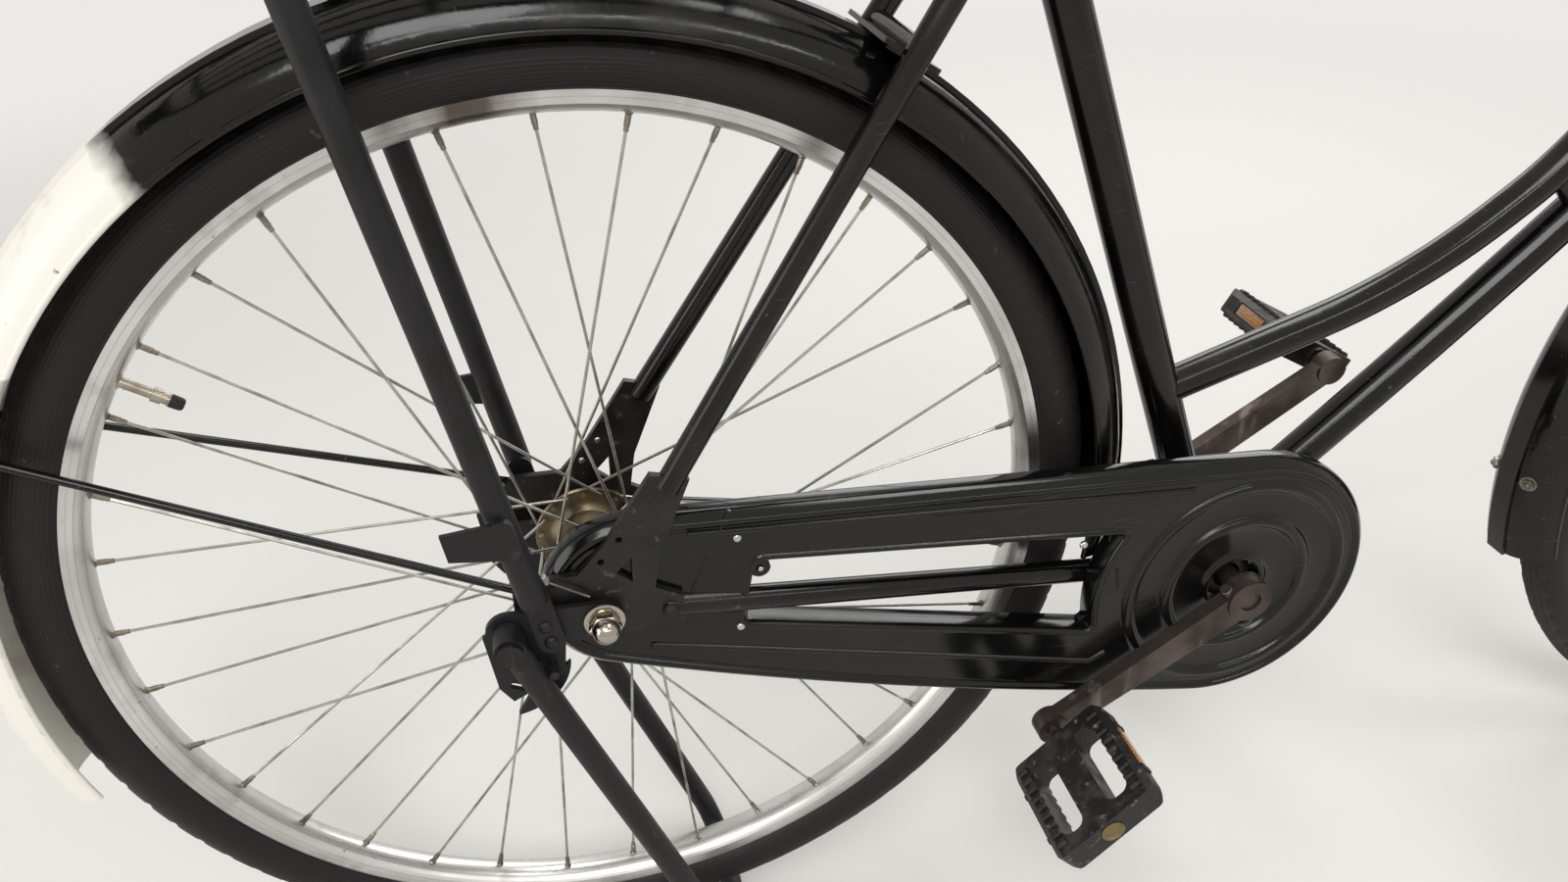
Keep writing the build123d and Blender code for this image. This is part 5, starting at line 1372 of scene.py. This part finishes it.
class BICYCLE_OT_bar_trim(bpy.types.Operator):
    """Makes the ribbed grips, the lamp's glass and ring, and the bell's nut and lever."""
    bl_idname = "bicycle.bar_trim"
    bl_label = "Grips, lamp and bell"

    def execute(self, context):
        steps = [(-4.2, 0.5), (-4.0, 11.5), (-2.6, 14.6), (0.0, 15.8), (4.0, 15.8)]
        for rib in range(GRIP_RIBS):
            start = 6 + rib * GRIP_RIB_PITCH
            steps += [(start, 14.5), (start + 1.2, 15.7), (start + 5.2, 15.7), (start + 6.4, 14.5)]
        steps += [(GRIP_LENGTH - 8, 16.0), (GRIP_LENGTH - 1, 16.6), (GRIP_LENGTH, 14.0),
                  (GRIP_LENGTH + 0.2, 11.3)]
        sleeves = []
        for side in (-1, 1):
            mirror = Vector((1, side, 1))
            end = CLAMP + BAR_END * mirror
            inward = CLAMP + BAR_LAST_BEND * mirror - end
            sleeves.append(lathe_run(end, inward, steps))
        settle(turned("ribbed_grips", sleeves, GRIP_SIDES), "steering", "grip", replaces=["grips"])

        centre = on_steering(LAMP_AT, LAMP_FORWARD)
        front = centre + Vector((LAMP_LENGTH / 2, 0, 0))
        ahead = (1, 0, 0)
        edge = [(-7, LAMP_R + 0.1), (-7, LAMP_R + 1.6), (-5, LAMP_R + 2.4), (1.4, LAMP_R + 2.2),
                (2.6, LAMP_R), (2.6, LAMP_R - 3.4), (0.4, LAMP_R - 3.6), (0.2, LAMP_R + 0.1)]
        settle(ring("lamp_ring", front, ahead, edge, LAMP_RING_SIDES), "steering", "chrome")
        glass = [(0.8, LAMP_R - 3.8), (1.4, LAMP_R - 3.4)] + dome_steps(1.6, LAMP_R - 3.4, 5.2, 8)
        glass = lathe_run(front, ahead, glass)
        settle(turned("lamp_glass", [glass], ROUND_SIDES), "steering", "lamp", "lamp_glass")
        bowl = lathe_run(front, ahead, [(0.2, LAMP_R - 4), (0.5, LAMP_R - 4.2)])
        settle(turned("lamp_mirror", [bowl], ROUND_SIDES), "steering", "chrome")
        above = centre + Vector((-12, 0, LAMP_R - 1))
        switch = lathe_run(above, (0, 0, 1), [(0, 5), (3, 5), (4, 4), (4.4, 0.4)])
        settle(turned("lamp_switch", [switch], KNOB_SIDES), "steering", "grip")

        bell_top = CLAMP + Vector((0, BELL_Y, 46))
        knob = bolt(bell_top - Vector((0, 0, 0.6)), (0, 0, 1), 5.0, 3.6)
        settle(turned("bell_nut", [knob], KNOB_SIDES), "steering", "chrome")
        axes = ((0.35, -1, 0), (1, 0.35, 0), (0, 0, 1))
        lever = blocks("bell_lever", [(bell_top + Vector((-18, -14, -27)), axes, (13, 4.5, 1.2))], 0.8)
        settle(lever, "steering", "chrome")
        return {"FINISHED"}


class BICYCLE_PT_panel(bpy.types.Panel):
    """Lists the bicycle's sizes, colours and pieces."""
    bl_label = "Bicycle"
    bl_idname = "BICYCLE_PT_panel"
    bl_space_type = "VIEW_3D"
    bl_region_type = "UI"
    bl_category = "Bicycle"

    def draw(self, context):
        for group in (context.scene.bicycle_sizes, context.scene.bicycle_colours):
            for name in group.__annotations__:
                self.layout.prop(group, name)
        for operator in OPERATORS:
            self.layout.operator(operator.bl_idname)


OPERATORS = (
    BICYCLE_OT_studio, BICYCLE_OT_finishes, BICYCLE_OT_tyres, BICYCLE_OT_spokes, BICYCLE_OT_axle_nuts,
    BICYCLE_OT_chain_case, BICYCLE_OT_saddle, BICYCLE_OT_saddle_frame, BICYCLE_OT_bolts,
    BICYCLE_OT_pedal_trim, BICYCLE_OT_bar_trim,
)
CLASSES = (BicycleSizes, BicycleColours, *OPERATORS, BICYCLE_PT_panel)


def register():
    for each in CLASSES:
        bpy.utils.register_class(each)
    bpy.types.Scene.bicycle_sizes = bpy.props.PointerProperty(type=BicycleSizes)
    bpy.types.Scene.bicycle_colours = bpy.props.PointerProperty(type=BicycleColours)


def unregister():
    del bpy.types.Scene.bicycle_colours
    del bpy.types.Scene.bicycle_sizes
    for each in reversed(CLASSES):
        bpy.utils.unregister_class(each)


def main():
    """Makes the whole bicycle and its studio."""
    register()
    for operator in OPERATORS:
        group, name = operator.bl_idname.split(".")
        getattr(getattr(bpy.ops, group), name)()


if __name__ == "__main__":
    main()
